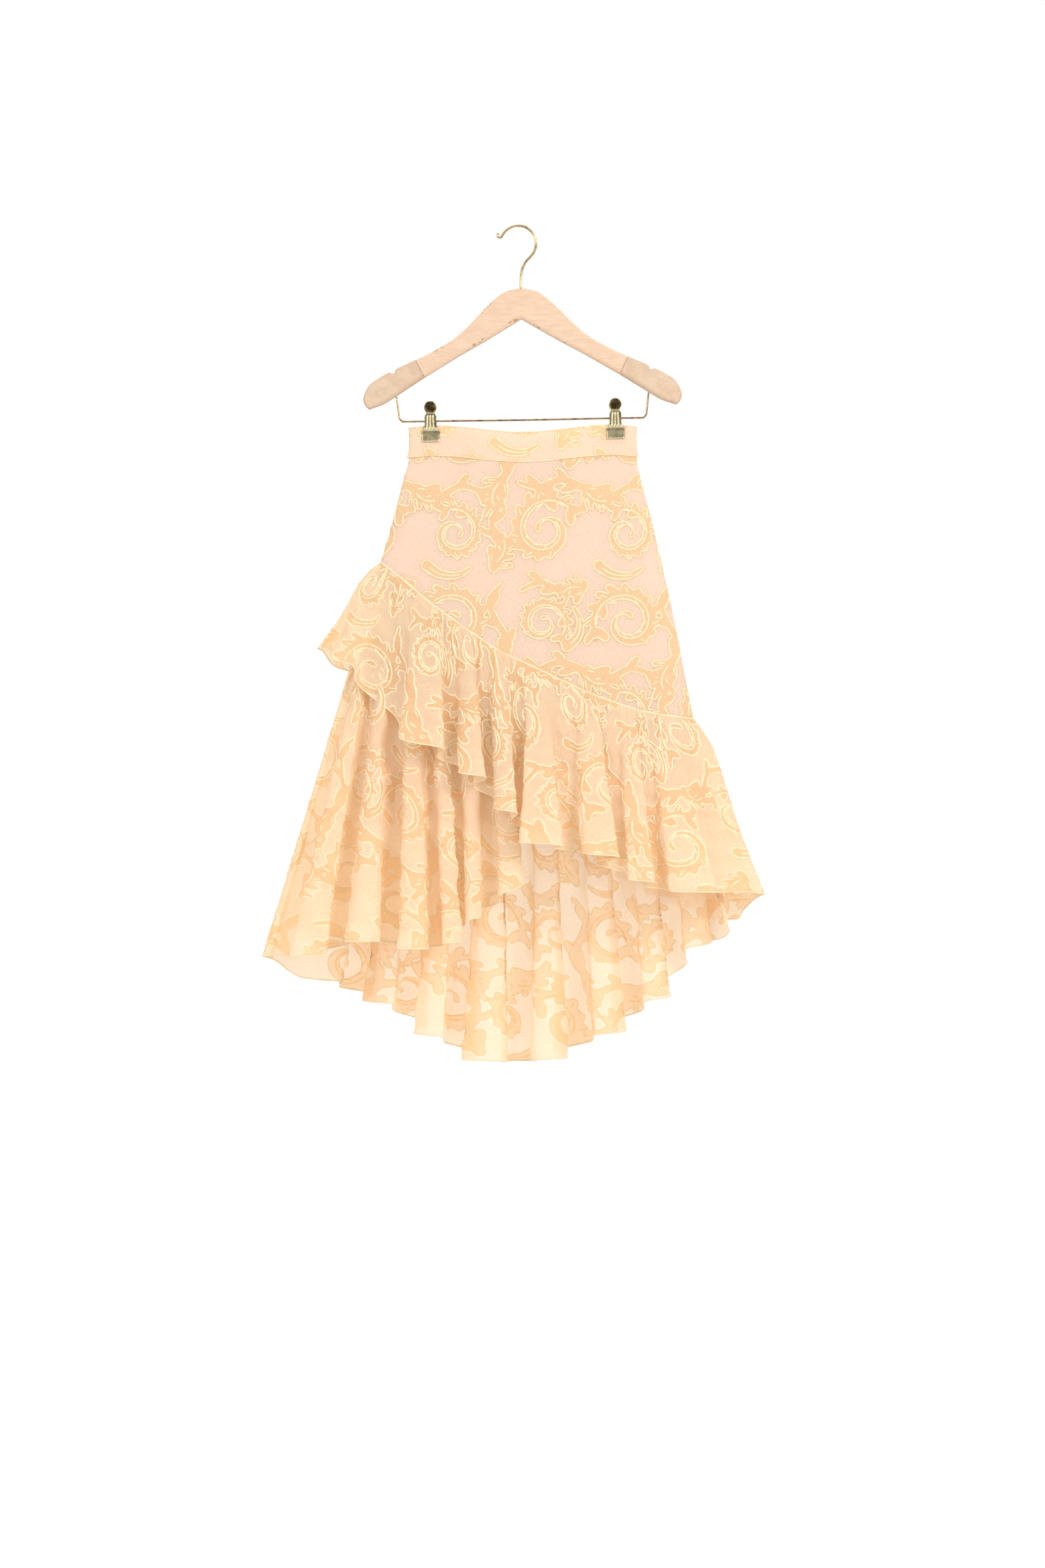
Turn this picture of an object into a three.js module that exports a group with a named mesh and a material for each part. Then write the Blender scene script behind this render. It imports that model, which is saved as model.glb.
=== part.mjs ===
// A ruffled high-low skirt that hangs from a wooden clip hanger.
// Units are millimetres. X runs to the wearer's-left side as seen from the front, Y to the back, Z up.
// The origin is the point under the rail, at the top of the inside of the hanger's hook.
import * as THREE from "three";

// Driving sizes of the hanger
const woodThickness = 14;
const woodBevel = 2.5;
const gripThickness = 15;
const hookWire = 3.6;
const hookInnerRadius = 22.8;
const barWire = 2.6;
const hangTilt = THREE.MathUtils.degToRad(-0.95);
const stemFoot = { x: 3.6, z: -85.1 };
const barDrop = 181;
const barHalfSpan = 171;
const clipSpacing = 255;
const seamGap = 0.3;

// Driving sizes of the cloth walls
const bandWall = 3.2;
const bodyWall = 1.6;
const liningWall = 1.1;
const ruffleWall = 1.4;
const ruffleGap = 0.9;
const panelColumns = 30;
const bandHeight = 41;
const bandSag = 10;
const liningHemHeight = -823;
const sectionPower = 2.5;

// Half sections of the skirt down its length: height, the two silhouette edges and the depth each way
const bodySections = [
  { height: -265, left: -152.5, right: 165, depth: 6.5 },
  { height: -318, left: -150, right: 163.5, depth: 8 },
  { height: -354, left: -160.5, right: 171, depth: 11.5 },
  { height: -393, left: -170.2, right: 182, depth: 15 },
  { height: -458, left: -189, right: 197.5, depth: 19.5 },
  { height: -518, left: -203, right: 211, depth: 22.5 },
  { height: -580, left: -218, right: 223.6, depth: 24.5 },
  { height: -626, left: -228, right: 232, depth: 25.5 },
  { height: -690, left: -241, right: 245, depth: 26 },
  { height: -850, left: -262, right: 268, depth: 26 },
];

// The slanting seam that carries both ruffles, low at the right; the back dips a little lower
const ruffleSeam = [
  { x: -196, height: -459 },
  { x: -160.5, height: -486.7 },
  { x: -121.9, height: -519.8 },
  { x: -75, height: -553.8 },
  { x: -30.8, height: -584.2 },
  { x: 29, height: -612 },
  { x: 94.3, height: -643 },
  { x: 146.7, height: -662 },
  { x: 190.9, height: -673.4 },
  { x: 246, height: -680 },
];
const backSeamDip = 22;

// Each fold of a ruffle, going round from the left side over the front, the right side and the back.
// Front folds stand out towards the front; back folds also bulge forwards, into the skirt.
// seam and hem: where the fold starts and ends across; height: its hem; deep: a share of the usual depth;
// lean: how far it leans over its neighbour; wide: above 0 for a broad panel, below 0 for a narrow ridge.
const upperFolds = [
  { side: "front", seam: -196, hem: -274, height: -582, deep: 0.3, lean: 0, wide: -0.2 },
  { side: "front", seam: -178, hem: -244, height: -601, deep: 0.9, lean: 4, wide: 0.4 },
  { side: "front", seam: -122, hem: -128, height: -715, deep: 1.15, lean: 1, wide: 0.6 },
  { side: "front", seam: -73, hem: -67, height: -757, deep: 1, lean: 7, wide: -0.1 },
  { side: "front", seam: -30, hem: -18, height: -806, deep: 1.2, lean: 6, wide: 0.1 },
  { side: "front", seam: 25, hem: 36, height: -850, deep: 1.1, lean: -7, wide: 0.5 },
  { side: "front", seam: 93, hem: 104, height: -866, deep: 1.1, lean: 17, wide: 0 },
  { side: "front", seam: 150, hem: 166, height: -901, deep: 0.6, lean: 3, wide: 0.4 },
  { side: "front", seam: 191, hem: 232, height: -916, deep: 0.8, lean: 9, wide: 0.4 },
  { side: "front", seam: 246, hem: 331, height: -921, deep: 0.5, lean: 0, wide: 0.6 },
  { side: "back", seam: 205, hem: 285, height: -957, deep: 0.9, lean: -3, wide: 0.2 },
  { side: "back", seam: 152, hem: 206, height: -925, deep: 1, lean: 4, wide: 0.3 },
  { side: "back", seam: 95, hem: 127, height: -884, deep: 1.1, lean: -4, wide: 0.1 },
  { side: "back", seam: 36, hem: 50, height: -831, deep: 0.9, lean: 5, wide: 0.3 },
  { side: "back", seam: -24, hem: -28, height: -775, deep: 1.1, lean: 0, wide: 0 },
  { side: "back", seam: -80, hem: -104, height: -718, deep: 0.9, lean: -5, wide: 0.3 },
  { side: "back", seam: -132, hem: -175, height: -660, deep: 1, lean: 4, wide: 0.2 },
  { side: "back", seam: -174, hem: -240, height: -611, deep: 0.7, lean: 0, wide: 0.2 },
];
const lowerFolds = [
  { side: "front", seam: -196, hem: -346, height: -1007, deep: 0.3, lean: 0, wide: 0 },
  { side: "front", seam: -189, hem: -288, height: -1004, deep: 0.6, lean: 3, wide: 0.5 },
  { side: "front", seam: -178, hem: -214, height: -983, deep: 1.2, lean: 3, wide: -0.2 },
  { side: "front", seam: -146, hem: -139, height: -993, deep: 1, lean: -4, wide: 0.2 },
  { side: "front", seam: -116, hem: -92, height: -984, deep: 0.9, lean: 5, wide: 0.2 },
  { side: "front", seam: -66, hem: -64, height: -952, deep: 1.1, lean: 3, wide: 0 },
  { side: "front", seam: -26, hem: -12, height: -912, deep: 1.1, lean: 6, wide: 0.2 },
  { side: "front", seam: 24, hem: 30, height: -760, deep: 1, lean: 0, wide: 0 },
  { side: "front", seam: 86, hem: 96, height: -738, deep: 1, lean: -2, wide: 0.2 },
  { side: "front", seam: 150, hem: 168, height: -776, deep: 1, lean: 2, wide: 0 },
  { side: "front", seam: 205, hem: 236, height: -865, deep: 0.8, lean: 0, wide: 0.2 },
  { side: "front", seam: 246, hem: 286, height: -972, deep: 0.4, lean: 0, wide: 0.5 },
  { side: "back", seam: 214, hem: 250, height: -993, deep: 0.9, lean: -4, wide: 0.5 },
  { side: "back", seam: 160, hem: 191, height: -1067, deep: 1, lean: -8, wide: 0.5 },
  { side: "back", seam: 98, hem: 124, height: -1115, deep: 1.1, lean: -11, wide: 0.5 },
  { side: "back", seam: 36, hem: 40, height: -1152, deep: 1.1, lean: -8, wide: 0.5 },
  { side: "back", seam: -30, hem: -49, height: -1154, deep: 1.1, lean: 7, wide: 0.5 },
  { side: "back", seam: -84, hem: -121, height: -1118, deep: 1.1, lean: 9, wide: 0.4 },
  { side: "back", seam: -132, hem: -192, height: -1073, deep: 0.8, lean: 6, wide: 0.4 },
  { side: "back", seam: -172, hem: -275, height: -1041, deep: 0.6, lean: 2, wide: 0.4 },
];
const upperRuffle = {
  folds: upperFolds, left: -274, right: 331, inset: -0.4, spread: 0.2, puff: 1.2, flare: 0.75,
  foldDepth: 0.06, overlap: 2, gather: 1,
};
const lowerRuffle = {
  folds: lowerFolds, left: -346, right: 286, inset: 2, spread: 0.085, puff: 0, flare: 1.15,
  foldDepth: 0.034, overlap: 1.9, gather: 0.3,
};
const foldPhases = [0, 35, 62, 118, 145, 180, 215, 242, 298, 325];
const ruffleRows = [0, 0.07, 0.24, 0.58, 1];
const longFold = 560;

// Straight-line reading of a table by one column
function readTable(rows, by, value, at) {
  const rising = rows[rows.length - 1][by] > rows[0][by];
  const past = (row) => (rising ? row[by] > at : row[by] < at);
  const found = rows.findIndex(past);
  const next = found < 0 ? rows.length - 1 : Math.max(1, found);
  const a = rows[next - 1];
  const b = rows[next];
  return THREE.MathUtils.mapLinear(at, a[by], b[by], a[value], b[value]);
}

// Smooth reading between equal steps of a list, optionally round a closed loop
function smoothStep(list, at) {
  const k = Math.floor(at);
  const t = at - k;
  const value = (i) => list[THREE.MathUtils.clamp(i, 0, list.length - 1)];
  const [a, b, c, d] = [value(k - 1), value(k), value(k + 1), value(k + 2)];
  const bend = 2 * a - 5 * b + 4 * c - d;
  return b + 0.5 * t * (c - a + t * (bend + t * (3 * (b - c) + d - a)));
}

const signedPower = (value, power) => Math.sign(value) * Math.abs(value) ** power;

// A point on the skirt's flattened section at a height, going round by angle; 180 to 360 degrees is the front
function sectionPoint(angle, height, inset) {
  const left = readTable(bodySections, "height", "left", height) + inset;
  const right = readTable(bodySections, "height", "right", height) - inset;
  const depth = readTable(bodySections, "height", "depth", height) - inset;
  const x = (left + right) / 2 + ((right - left) / 2) * signedPower(Math.cos(angle), 2 / sectionPower);
  const y = depth * signedPower(Math.sin(angle), 2 / sectionPower);
  return new THREE.Vector3(x, y, height);
}

// The angle at which a section from left to right has its point above x
function angleAt(x, left, right, side) {
  const across = THREE.MathUtils.clamp((2 * x - left - right) / (right - left), -1, 1);
  const turn = Math.acos(signedPower(across, sectionPower / 2));
  return side === "front" ? 2 * Math.PI - turn : 2 * Math.PI + turn;
}

// Height of the ruffle seam at an angle, found by closing in on the slanting line
function seamHeight(angle) {
  const back = Math.max(0, Math.sin(angle));
  let height = -600;
  for (let pass = 0; pass < 12; pass += 1) {
    height = readTable(ruffleSeam, "x", "height", sectionPoint(angle, height, 0).x);
  }
  return height - backSeamDip * back;
}

// A closed wall between an outer and an inner grid of points, both with the same rows and columns
function wallBetween(outer, inner) {
  const rows = outer.length;
  const columns = outer[0].length;
  const positions = [...outer.flat(), ...inner.flat()].flatMap((p) => [p.x, p.y, p.z]);
  const at = (layer, row, column) => layer * rows * columns + row * columns + column;
  const faces = [];
  const quad = (a, b, c, d) => faces.push(a, b, c, a, c, d);
  for (let r = 0; r < rows - 1; r += 1) {
    for (let c = 0; c < columns - 1; c += 1) {
      quad(at(0, r, c), at(0, r + 1, c), at(0, r + 1, c + 1), at(0, r, c + 1));
      quad(at(1, r, c), at(1, r, c + 1), at(1, r + 1, c + 1), at(1, r + 1, c));
    }
    quad(at(0, r, 0), at(1, r, 0), at(1, r + 1, 0), at(0, r + 1, 0));
    const end = columns - 1;
    quad(at(0, r, end), at(0, r + 1, end), at(1, r + 1, end), at(1, r, end));
  }
  for (let c = 0; c < columns - 1; c += 1) {
    quad(at(0, 0, c), at(0, 0, c + 1), at(1, 0, c + 1), at(1, 0, c));
    const foot = rows - 1;
    quad(at(0, foot, c), at(1, foot, c), at(1, foot, c + 1), at(0, foot, c + 1));
  }
  const geometry = new THREE.BufferGeometry();
  geometry.setAttribute("position", new THREE.Float32BufferAttribute(positions, 3));
  geometry.setIndex(faces);
  geometry.computeVertexNormals();
  return geometry;
}

// Evenly eased angles across the front or the back, from one side seam to the other
function panelAngles(side, columns) {
  const start = side === "front" ? Math.PI : 0;
  return Array.from({ length: columns + 1 }, (_, c) => {
    const share = c / columns;
    return start + Math.PI * (share - Math.sin(2 * Math.PI * share) / 20);
  });
}

// Keeps a point its own half seam gap away from the plane between front and back
function offSideSeam(point, side) {
  const sign = side === "front" ? -1 : 1;
  point.y = sign * Math.max(seamGap / 2, sign * point.y);
  return point;
}

// The clips pinch the band flat; between them it bellies out and its top edge sags
const bandCentre = 6.6;
const clipReach = 21;
const clipEase = 45;
const jawReach = 27;
const pinchedDepth = 3.8;
function pinchAt(x) {
  const away = Math.abs(Math.abs(x - bandCentre) - clipSpacing / 2);
  return 1 - THREE.MathUtils.smoothstep(away, clipReach, clipReach + clipEase);
}
function bandEdge(x) {
  const across = (x - bandCentre) / (clipSpacing / 2);
  const sag = Math.abs(across) < 1 ? bandSag * Math.cos((across * Math.PI) / 2) ** 2 : 0;
  const ends = Math.abs(across) > 1 ? 12 * (Math.abs(across) - 1) : 0;
  return -274 + 0.005 * x - sag - ends;
}
function waistbandPoint(angle, drop, inset) {
  const point = sectionPoint(angle, -290 - drop, inset);
  const edge = sectionPoint(angle, -290, 0).x;
  const pinch = pinchAt(edge) * (1 - 0.6 * THREE.MathUtils.smoothstep(drop, jawReach, 1.6 * bandHeight));
  const full = Math.abs(point.y);
  const flat = Math.min(full, Math.max(0.35 * full, pinchedDepth - inset));
  const belly = 3 * (1 - pinch) * Math.max(0, 1 - Math.abs(edge - bandCentre) / 150);
  point.y = Math.sign(point.y) * (THREE.MathUtils.lerp(full, flat, pinch) + belly);
  point.z = bandEdge(edge) - drop;
  return point;
}

// Every panel is a grid of rows from its upper to its lower edge
function panelWall(side, rows, thickness, pointOf) {
  const angles = panelAngles(side, panelColumns);
  const grid = (inset) => rows.map((row) => angles.map((angle) => offSideSeam(pointOf(angle, row, inset), side)));
  return wallBetween(grid(0), grid(thickness));
}
function waistbandPanel(side) {
  const rows = [0, jawReach, bandHeight];
  return panelWall(side, rows, bandWall, waistbandPoint);
}

// The fitted part between waistband and ruffles, and the plain slip under it. The first rows are set by
// their drop below the band, where the cloth eases out of the pinched band; the others share what is left.
const easeDrops = [0, 14, 34, 62];
const bodyRows = [0, 1, 2, 3, 3.25, 3.5, 3.75, 4];
const liningRows = [0, 1, 2, 3, 3.3, 3.62, 4];
function hangingPoint(angle, row, foot, inset) {
  const top = waistbandPoint(angle, bandHeight, inset);
  top.z -= seamGap;
  const eased = easeDrops[easeDrops.length - 1];
  const below = top.z - eased;
  const height = row > 3 ? THREE.MathUtils.lerp(below, foot, row - 3) : top.z - easeDrops[row];
  const point = sectionPoint(angle, height, inset);
  const settle = THREE.MathUtils.smoothstep(top.z - point.z, 0, eased);
  point.y = THREE.MathUtils.lerp(top.y, point.y, settle);
  return point;
}
function bodyPanel(side) {
  return panelWall(side, bodyRows, bodyWall, (angle, row, inset) =>
    hangingPoint(angle, row, seamHeight(angle), inset),
  );
}
const liningInset = bodyWall + 0.5;
const liningEase = 3.6;
function liningPanel(side) {
  return panelWall(side, liningRows, liningWall, (angle, row, inset) => {
    const clear = liningInset + liningEase * (Math.min(1, row / 2) + Math.max(0, 1.4 * (row - 3)));
    return hangingPoint(angle, row, liningHemHeight, inset + clear);
  });
}

// Half turns of fold between neighbouring rows: a front fold and a back fold face opposite ways
function foldTurns(folds) {
  const turns = [0];
  folds.forEach((fold, i) => {
    const next = folds[(i + 1) % folds.length];
    turns.push(turns[i] + (next.side === fold.side ? 2 : 1) * Math.PI);
  });
  return turns;
}

// Reads a ruffle's fold table at any place round the loop; the folds stand at the whole numbers
function foldReader(ruffle) {
  const count = ruffle.folds.length;
  const threeLoops = (once, step) => [-step, 0, step].flatMap((add) => once.map((value) => value + add));
  const seamAngle = ruffle.folds.map((fold) => {
    const height = readTable(ruffleSeam, "x", "height", fold.seam);
    return angleAt(fold.seam, sectionPoint(Math.PI, height, 0).x, sectionPoint(0, height, 0).x, fold.side);
  });
  const hemAngle = ruffle.folds.map((fold) => angleAt(fold.hem, ruffle.left, ruffle.right, fold.side));
  const turns = foldTurns(ruffle.folds);
  const lists = {
    seamAngle: threeLoops(seamAngle, 2 * Math.PI),
    hemAngle: threeLoops(hemAngle, 2 * Math.PI),
    turn: threeLoops(turns.slice(0, count), turns[count]),
  };
  ["height", "deep", "lean", "wide"].forEach((name) => {
    lists[name] = threeLoops(ruffle.folds.map((fold) => fold[name]), 0);
  });
  return (name, u) => smoothStep(lists[name], u + count);
}

// The cloth's middle surface before it is folded: from the seam, fanning out to the hem
function fannedPoint(ruffle, read, u, v) {
  const seamTurn = read("seamAngle", u);
  const top = sectionPoint(seamTurn, seamHeight(seamTurn), ruffle.inset + ruffleWall / 2);
  top.z -= ruffleGap;
  const hemTurn = read("hemAngle", u);
  const height = read("height", u - Math.sin(2 * Math.PI * u) / 14);
  const drop = top.z - height;
  const middle = (ruffle.left + ruffle.right) / 2;
  const half = (ruffle.right - ruffle.left) / 2;
  const seamDepth = readTable(bodySections, "height", "depth", top.z) - ruffle.inset - ruffleWall / 2;
  const hem = new THREE.Vector3(
    middle + half * signedPower(Math.cos(hemTurn), 2 / sectionPower),
    (seamDepth + ruffle.spread * drop) * signedPower(Math.sin(hemTurn), 2 / sectionPower),
    height,
  );
  return new THREE.Vector3(
    THREE.MathUtils.lerp(top.x, hem.x, v + ruffle.puff * v * (1 - v) ** 4),
    THREE.MathUtils.lerp(top.y, hem.y, v ** ruffle.flare),
    THREE.MathUtils.lerp(top.z, hem.z, v),
  );
}

// The folded surface: crests pushed out, valleys in, and the sides of each fold tucked under it
function foldedPoint(ruffle, read, u, v) {
  const step = 0.02;
  const point = fannedPoint(ruffle, read, u, v);
  const along = fannedPoint(ruffle, read, u + step, v).sub(fannedPoint(ruffle, read, u - step, v));
  along.z = 0;
  const pitch = along.length() / (2 * step);
  along.normalize();
  const outward = new THREE.Vector3(along.y, -along.x, 0);
  const drop = Math.min(longFold, seamHeight(read("seamAngle", u)) - read("height", u));
  const evenTurn = read("turn", u);
  const turn = evenTurn - read("wide", u) * Math.sin(2 * Math.PI * u);
  const settled = v * Math.min(1, drop / 150);
  const reach = ruffle.foldDepth * drop * read("deep", u) * v;
  const gathers = ruffle.gather * Math.cos(2 * turn) * v * (1 - v) ** 3 * 9;
  const tuck = Math.min((ruffle.overlap * pitch * settled) / (4 * Math.PI), 0.85 * reach);
  point.addScaledVector(outward, reach * Math.cos(turn) + gathers);
  const lean = read("lean", u) * settled * Math.cos(2 * Math.PI * u);
  point.addScaledVector(along, tuck * Math.sin(2 * evenTurn) + lean);
  return point;
}

// One side of a ruffle as a wall, from one side seam's fold to the other's
function rufflePanel(ruffle, side) {
  const read = foldReader(ruffle);
  const count = ruffle.folds.length;
  const turn = ruffle.folds.findIndex((fold) => fold.side === "back") - 1;
  const [first, last] = side === "front" ? [0, turn] : [turn, count];
  const places = [];
  for (let fold = first; fold < last; fold += 1) {
    foldPhases.forEach((phase) => places.push(fold + phase / 360));
  }
  places.push(last);
  const share = seamGap / 2 / 28;
  places[0] += share;
  places[places.length - 1] -= share;
  const shift = (offset) =>
    ruffleRows.map((v) =>
      places.map((u) => {
        const step = 0.012;
        const along = foldedPoint(ruffle, read, u + step, v).sub(foldedPoint(ruffle, read, u - step, v));
        const outward = new THREE.Vector3(along.y, -along.x, 0).normalize();
        return foldedPoint(ruffle, read, u, v).addScaledVector(outward, offset);
      }),
    );
  return wallBetween(shift(ruffleWall / 2), shift(-ruffleWall / 2));
}

// The hanger's outline, right half, as distance from the stem and drop below the wood's top
const woodTopEdge = [
  [0, 0], [21.6, 4.4], [34.5, 12.9], [51.8, 28.8], [74.8, 52.3], [94.9, 69], [122.2, 84.8], [146.6, 96.6],
];
const gripTopEdge = [
  [146.9, 96.7], [160, 102.3], [173.6, 108.8], [176, 113.6], [180.2, 114.8], [183.4, 113.4], [196.1, 119.9],
  [211.3, 130.8], [219.4, 147.2], [217.9, 157.3], [212.2, 163],
];
const gripLowEdge = [[191.8, 156.2], [171, 143.6], [134.8, 120.6]];
const woodLowEdge = [[134.5, 120.4], [125, 115], [86.3, 92], [46, 69.6], [0, 42.3]];
const toPoint = ([across, drop]) => new THREE.Vector2(across, -drop);
const mirrored = (points) => points.map((p) => new THREE.Vector2(-p.x, p.y)).reverse();

function woodPlate(outline, thickness) {
  const shape = new THREE.Shape(outline);
  const geometry = new THREE.ExtrudeGeometry(shape, {
    depth: thickness - 2 * woodBevel,
    bevelThickness: woodBevel,
    bevelSize: woodBevel,
    bevelOffset: -woodBevel,
    bevelSegments: 2,
    steps: 1,
  });
  geometry.translate(0, 0, woodBevel - thickness / 2);
  geometry.rotateX(Math.PI / 2);
  return geometry;
}
function woodArms() {
  const right = [...woodTopEdge, ...woodLowEdge].map(toPoint);
  const left = mirrored(right).slice(1, -1);
  return woodPlate([...right, ...left], woodThickness);
}
function woodGrip(direction) {
  const right = [...gripTopEdge, ...gripLowEdge].map(toPoint);
  return woodPlate(direction > 0 ? right : mirrored(right), gripThickness);
}

// Round wire along a line of points that lies in the upright plane, given as across and height
const wireSides = 8;
function wire(line, diameter) {
  const points = line.map(([x, z]) => new THREE.Vector3(x, 0, z));
  const across = new THREE.Vector3(0, 1, 0);
  const rings = points.map((point, i) => {
    const before = points[Math.max(0, i - 1)];
    const after = points[Math.min(points.length - 1, i + 1)];
    const side = new THREE.Vector3().crossVectors(across, after.clone().sub(before)).normalize();
    return Array.from({ length: wireSides }, (_, k) => {
      const turn = (2 * Math.PI * k) / wireSides;
      const out = side.clone().multiplyScalar(Math.cos(turn)).addScaledVector(across, Math.sin(turn));
      return point.clone().addScaledVector(out, diameter / 2);
    });
  });
  const positions = [points[0], ...rings.flat(), points[points.length - 1]].flatMap((p) => [p.x, p.y, p.z]);
  const last = points.length * wireSides + 1;
  const at = (ring, k) => 1 + ring * wireSides + (k % wireSides);
  const faces = [];
  for (let k = 0; k < wireSides; k += 1) {
    faces.push(0, at(0, k + 1), at(0, k));
    for (let ring = 0; ring < points.length - 1; ring += 1) {
      faces.push(at(ring, k), at(ring, k + 1), at(ring + 1, k + 1));
      faces.push(at(ring, k), at(ring + 1, k + 1), at(ring + 1, k));
    }
    faces.push(last, at(points.length - 1, k), at(points.length - 1, k + 1));
  }
  const geometry = new THREE.BufferGeometry();
  geometry.setAttribute("position", new THREE.Float32BufferAttribute(positions, 3));
  geometry.setIndex(faces);
  geometry.computeVertexNormals();
  return geometry;
}
function hook() {
  const radius = hookInnerRadius + hookWire / 2;
  const curlRadius = 3.2;
  const line = [];
  for (let turn = -225; turn <= -45; turn += 30) {
    const angle = THREE.MathUtils.degToRad(turn);
    line.push([-25.1 + curlRadius * Math.cos(angle), -11.3 + curlRadius * Math.sin(angle)]);
  }
  for (let turn = 150; turn >= -8; turn -= 15.8) {
    const angle = THREE.MathUtils.degToRad(turn);
    line.push([radius * Math.cos(angle), -hookInnerRadius + radius * Math.sin(angle)]);
  }
  line.push([22.2, -33.5], [17.2, -40.4], [11.5, -46.6], [7.6, -53], [4.8, -61], [3.8, -70]);
  line.push([stemFoot.x, stemFoot.z + seamGap]);
  return wire(line, hookWire);
}
function bar() {
  const top = 146.4 + seamGap;
  const bend = 8;
  const left = [[-barHalfSpan - 3, -top], [-barHalfSpan - 0.4, bend - barDrop + 4]];
  for (let turn = 180; turn <= 270; turn += 18) {
    const angle = THREE.MathUtils.degToRad(turn);
    left.push([bend - barHalfSpan + bend * Math.cos(angle), bend - barDrop + bend * Math.sin(angle)]);
  }
  left.push([-barHalfSpan + 60, -barDrop], [0, -barDrop - 0.4]);
  const right = left.slice(0, -1).map(([x, z]) => [-x, z]).reverse();
  return wire([...left, ...right], barWire);
}

// A clip leaf, front or back: round thumb tab, ribbed neck and a wide jaw; forward is measured off the bar
const leafRows = [
  { height: 26.4, half: 3.2, forward: 13.6 },
  { height: 24.6, half: 6.3, forward: 13.1 },
  { height: 18.4, half: 8.6, forward: 11.4 },
  { height: 13, half: 6.9, forward: 9.6 },
  { height: 10, half: 6, forward: 8.6 },
  { height: 7, half: 8, forward: 7.6 },
  { height: 0, half: 8, forward: 6.6 },
  { height: -10, half: 8.6, forward: 6.1 },
  { height: -14, half: 12.5, forward: 5.9 },
  { height: -17, half: 12.5, forward: 5.2 },
  { height: -28.5, half: 12.5, forward: 5.2 },
];
const leafPlate = 0.9;
const ribRise = 0.8;
function clipLeaf(direction) {
  const across = [-1, -0.78, -0.56, -0.34, -0.16, 0.16, 0.34, 0.56, 0.78, 1];
  const ribs = [0, 0, 1, 0, 1, 1, 0, 1, 0, 0];
  const grid = (offset) =>
    leafRows.map((row) =>
      across.map((share, c) => {
        const ribbed = row.height < 9 && row.height > -12 ? ribs[c] * ribRise : 0;
        const y = direction * (row.forward + offset + ribbed);
        return new THREE.Vector3(direction * -share * row.half, y, row.height);
      }),
    );
  return wallBetween(grid(0), grid(-leafPlate));
}
function clipSpring() {
  const bore = barWire / 2 + 0.7;
  const outer = 5.2;
  const half = 5.5;
  const profile = [[bore, -half], [outer, -half], [outer, half], [bore, half], [bore, -half]];
  const ring = new THREE.LatheGeometry(profile.map(([r, x]) => new THREE.Vector2(r, x)), 14);
  ring.rotateZ(Math.PI / 2);
  return ring;
}

const organza = { color: 0xfbdcb4, roughness: 0.75, metalness: 0 };
const satin = { color: 0xfdd9bf, roughness: 0.6, metalness: 0 };
const paintedWood = { color: 0xf7d7ba, roughness: 0.5, metalness: 0 };
const flocking = { color: 0xe4c2a3, roughness: 0.9, metalness: 0 };
const brass = { color: 0xc9b27c, roughness: 0.3, metalness: 1 };

function named(name, geometry, finish) {
  const mesh = new THREE.Mesh(geometry, new THREE.MeshStandardMaterial(finish));
  mesh.name = name;
  return mesh;
}

const hanger = new THREE.Group();
hanger.position.set(stemFoot.x, 0, stemFoot.z);
hanger.rotation.y = hangTilt;
hanger.add(named("hanger_arms", woodArms(), paintedWood));
hanger.add(named("hanger_grip_left", woodGrip(-1), flocking));
hanger.add(named("hanger_grip_right", woodGrip(1), flocking));
hanger.add(named("hanger_bar", bar(), brass));
[["left", -1], ["right", 1]].forEach(([name, direction]) => {
  const clip = new THREE.Group();
  clip.position.set((direction * clipSpacing) / 2, 0, -barDrop - 0.2);
  clip.add(named(`clip_${name}_front`, clipLeaf(-1), brass));
  clip.add(named(`clip_${name}_back`, clipLeaf(1), brass));
  clip.add(named(`clip_${name}_spring`, clipSpring(), brass));
  hanger.add(clip);
});

const skirt = new THREE.Group();
["front", "back"].forEach((side) => {
  skirt.add(named(`waistband_${side}`, waistbandPanel(side), organza));
  skirt.add(named(`body_${side}`, bodyPanel(side), organza));
  skirt.add(named(`lining_${side}`, liningPanel(side), satin));
  skirt.add(named(`upper_ruffle_${side}`, rufflePanel(upperRuffle, side), organza));
  skirt.add(named(`lower_ruffle_${side}`, rufflePanel(lowerRuffle, side), organza));
});

const part = new THREE.Group();
part.add(named("hook", hook(), brass), hanger, skirt);
export default part;
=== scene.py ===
import math
import bpy
import numpy as np
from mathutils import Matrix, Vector


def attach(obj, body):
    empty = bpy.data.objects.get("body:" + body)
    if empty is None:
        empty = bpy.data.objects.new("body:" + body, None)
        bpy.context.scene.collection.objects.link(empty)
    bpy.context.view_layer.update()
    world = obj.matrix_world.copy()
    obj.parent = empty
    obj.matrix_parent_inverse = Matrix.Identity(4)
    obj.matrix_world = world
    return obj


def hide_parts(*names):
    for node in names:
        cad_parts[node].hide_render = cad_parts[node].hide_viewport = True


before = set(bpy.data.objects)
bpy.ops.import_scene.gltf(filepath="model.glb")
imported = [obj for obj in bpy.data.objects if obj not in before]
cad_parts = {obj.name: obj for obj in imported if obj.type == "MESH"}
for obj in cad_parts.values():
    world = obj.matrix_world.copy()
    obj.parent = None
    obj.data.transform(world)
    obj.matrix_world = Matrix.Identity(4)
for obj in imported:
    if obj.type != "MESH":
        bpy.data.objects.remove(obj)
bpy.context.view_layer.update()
millimetre = 0.001

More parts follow.
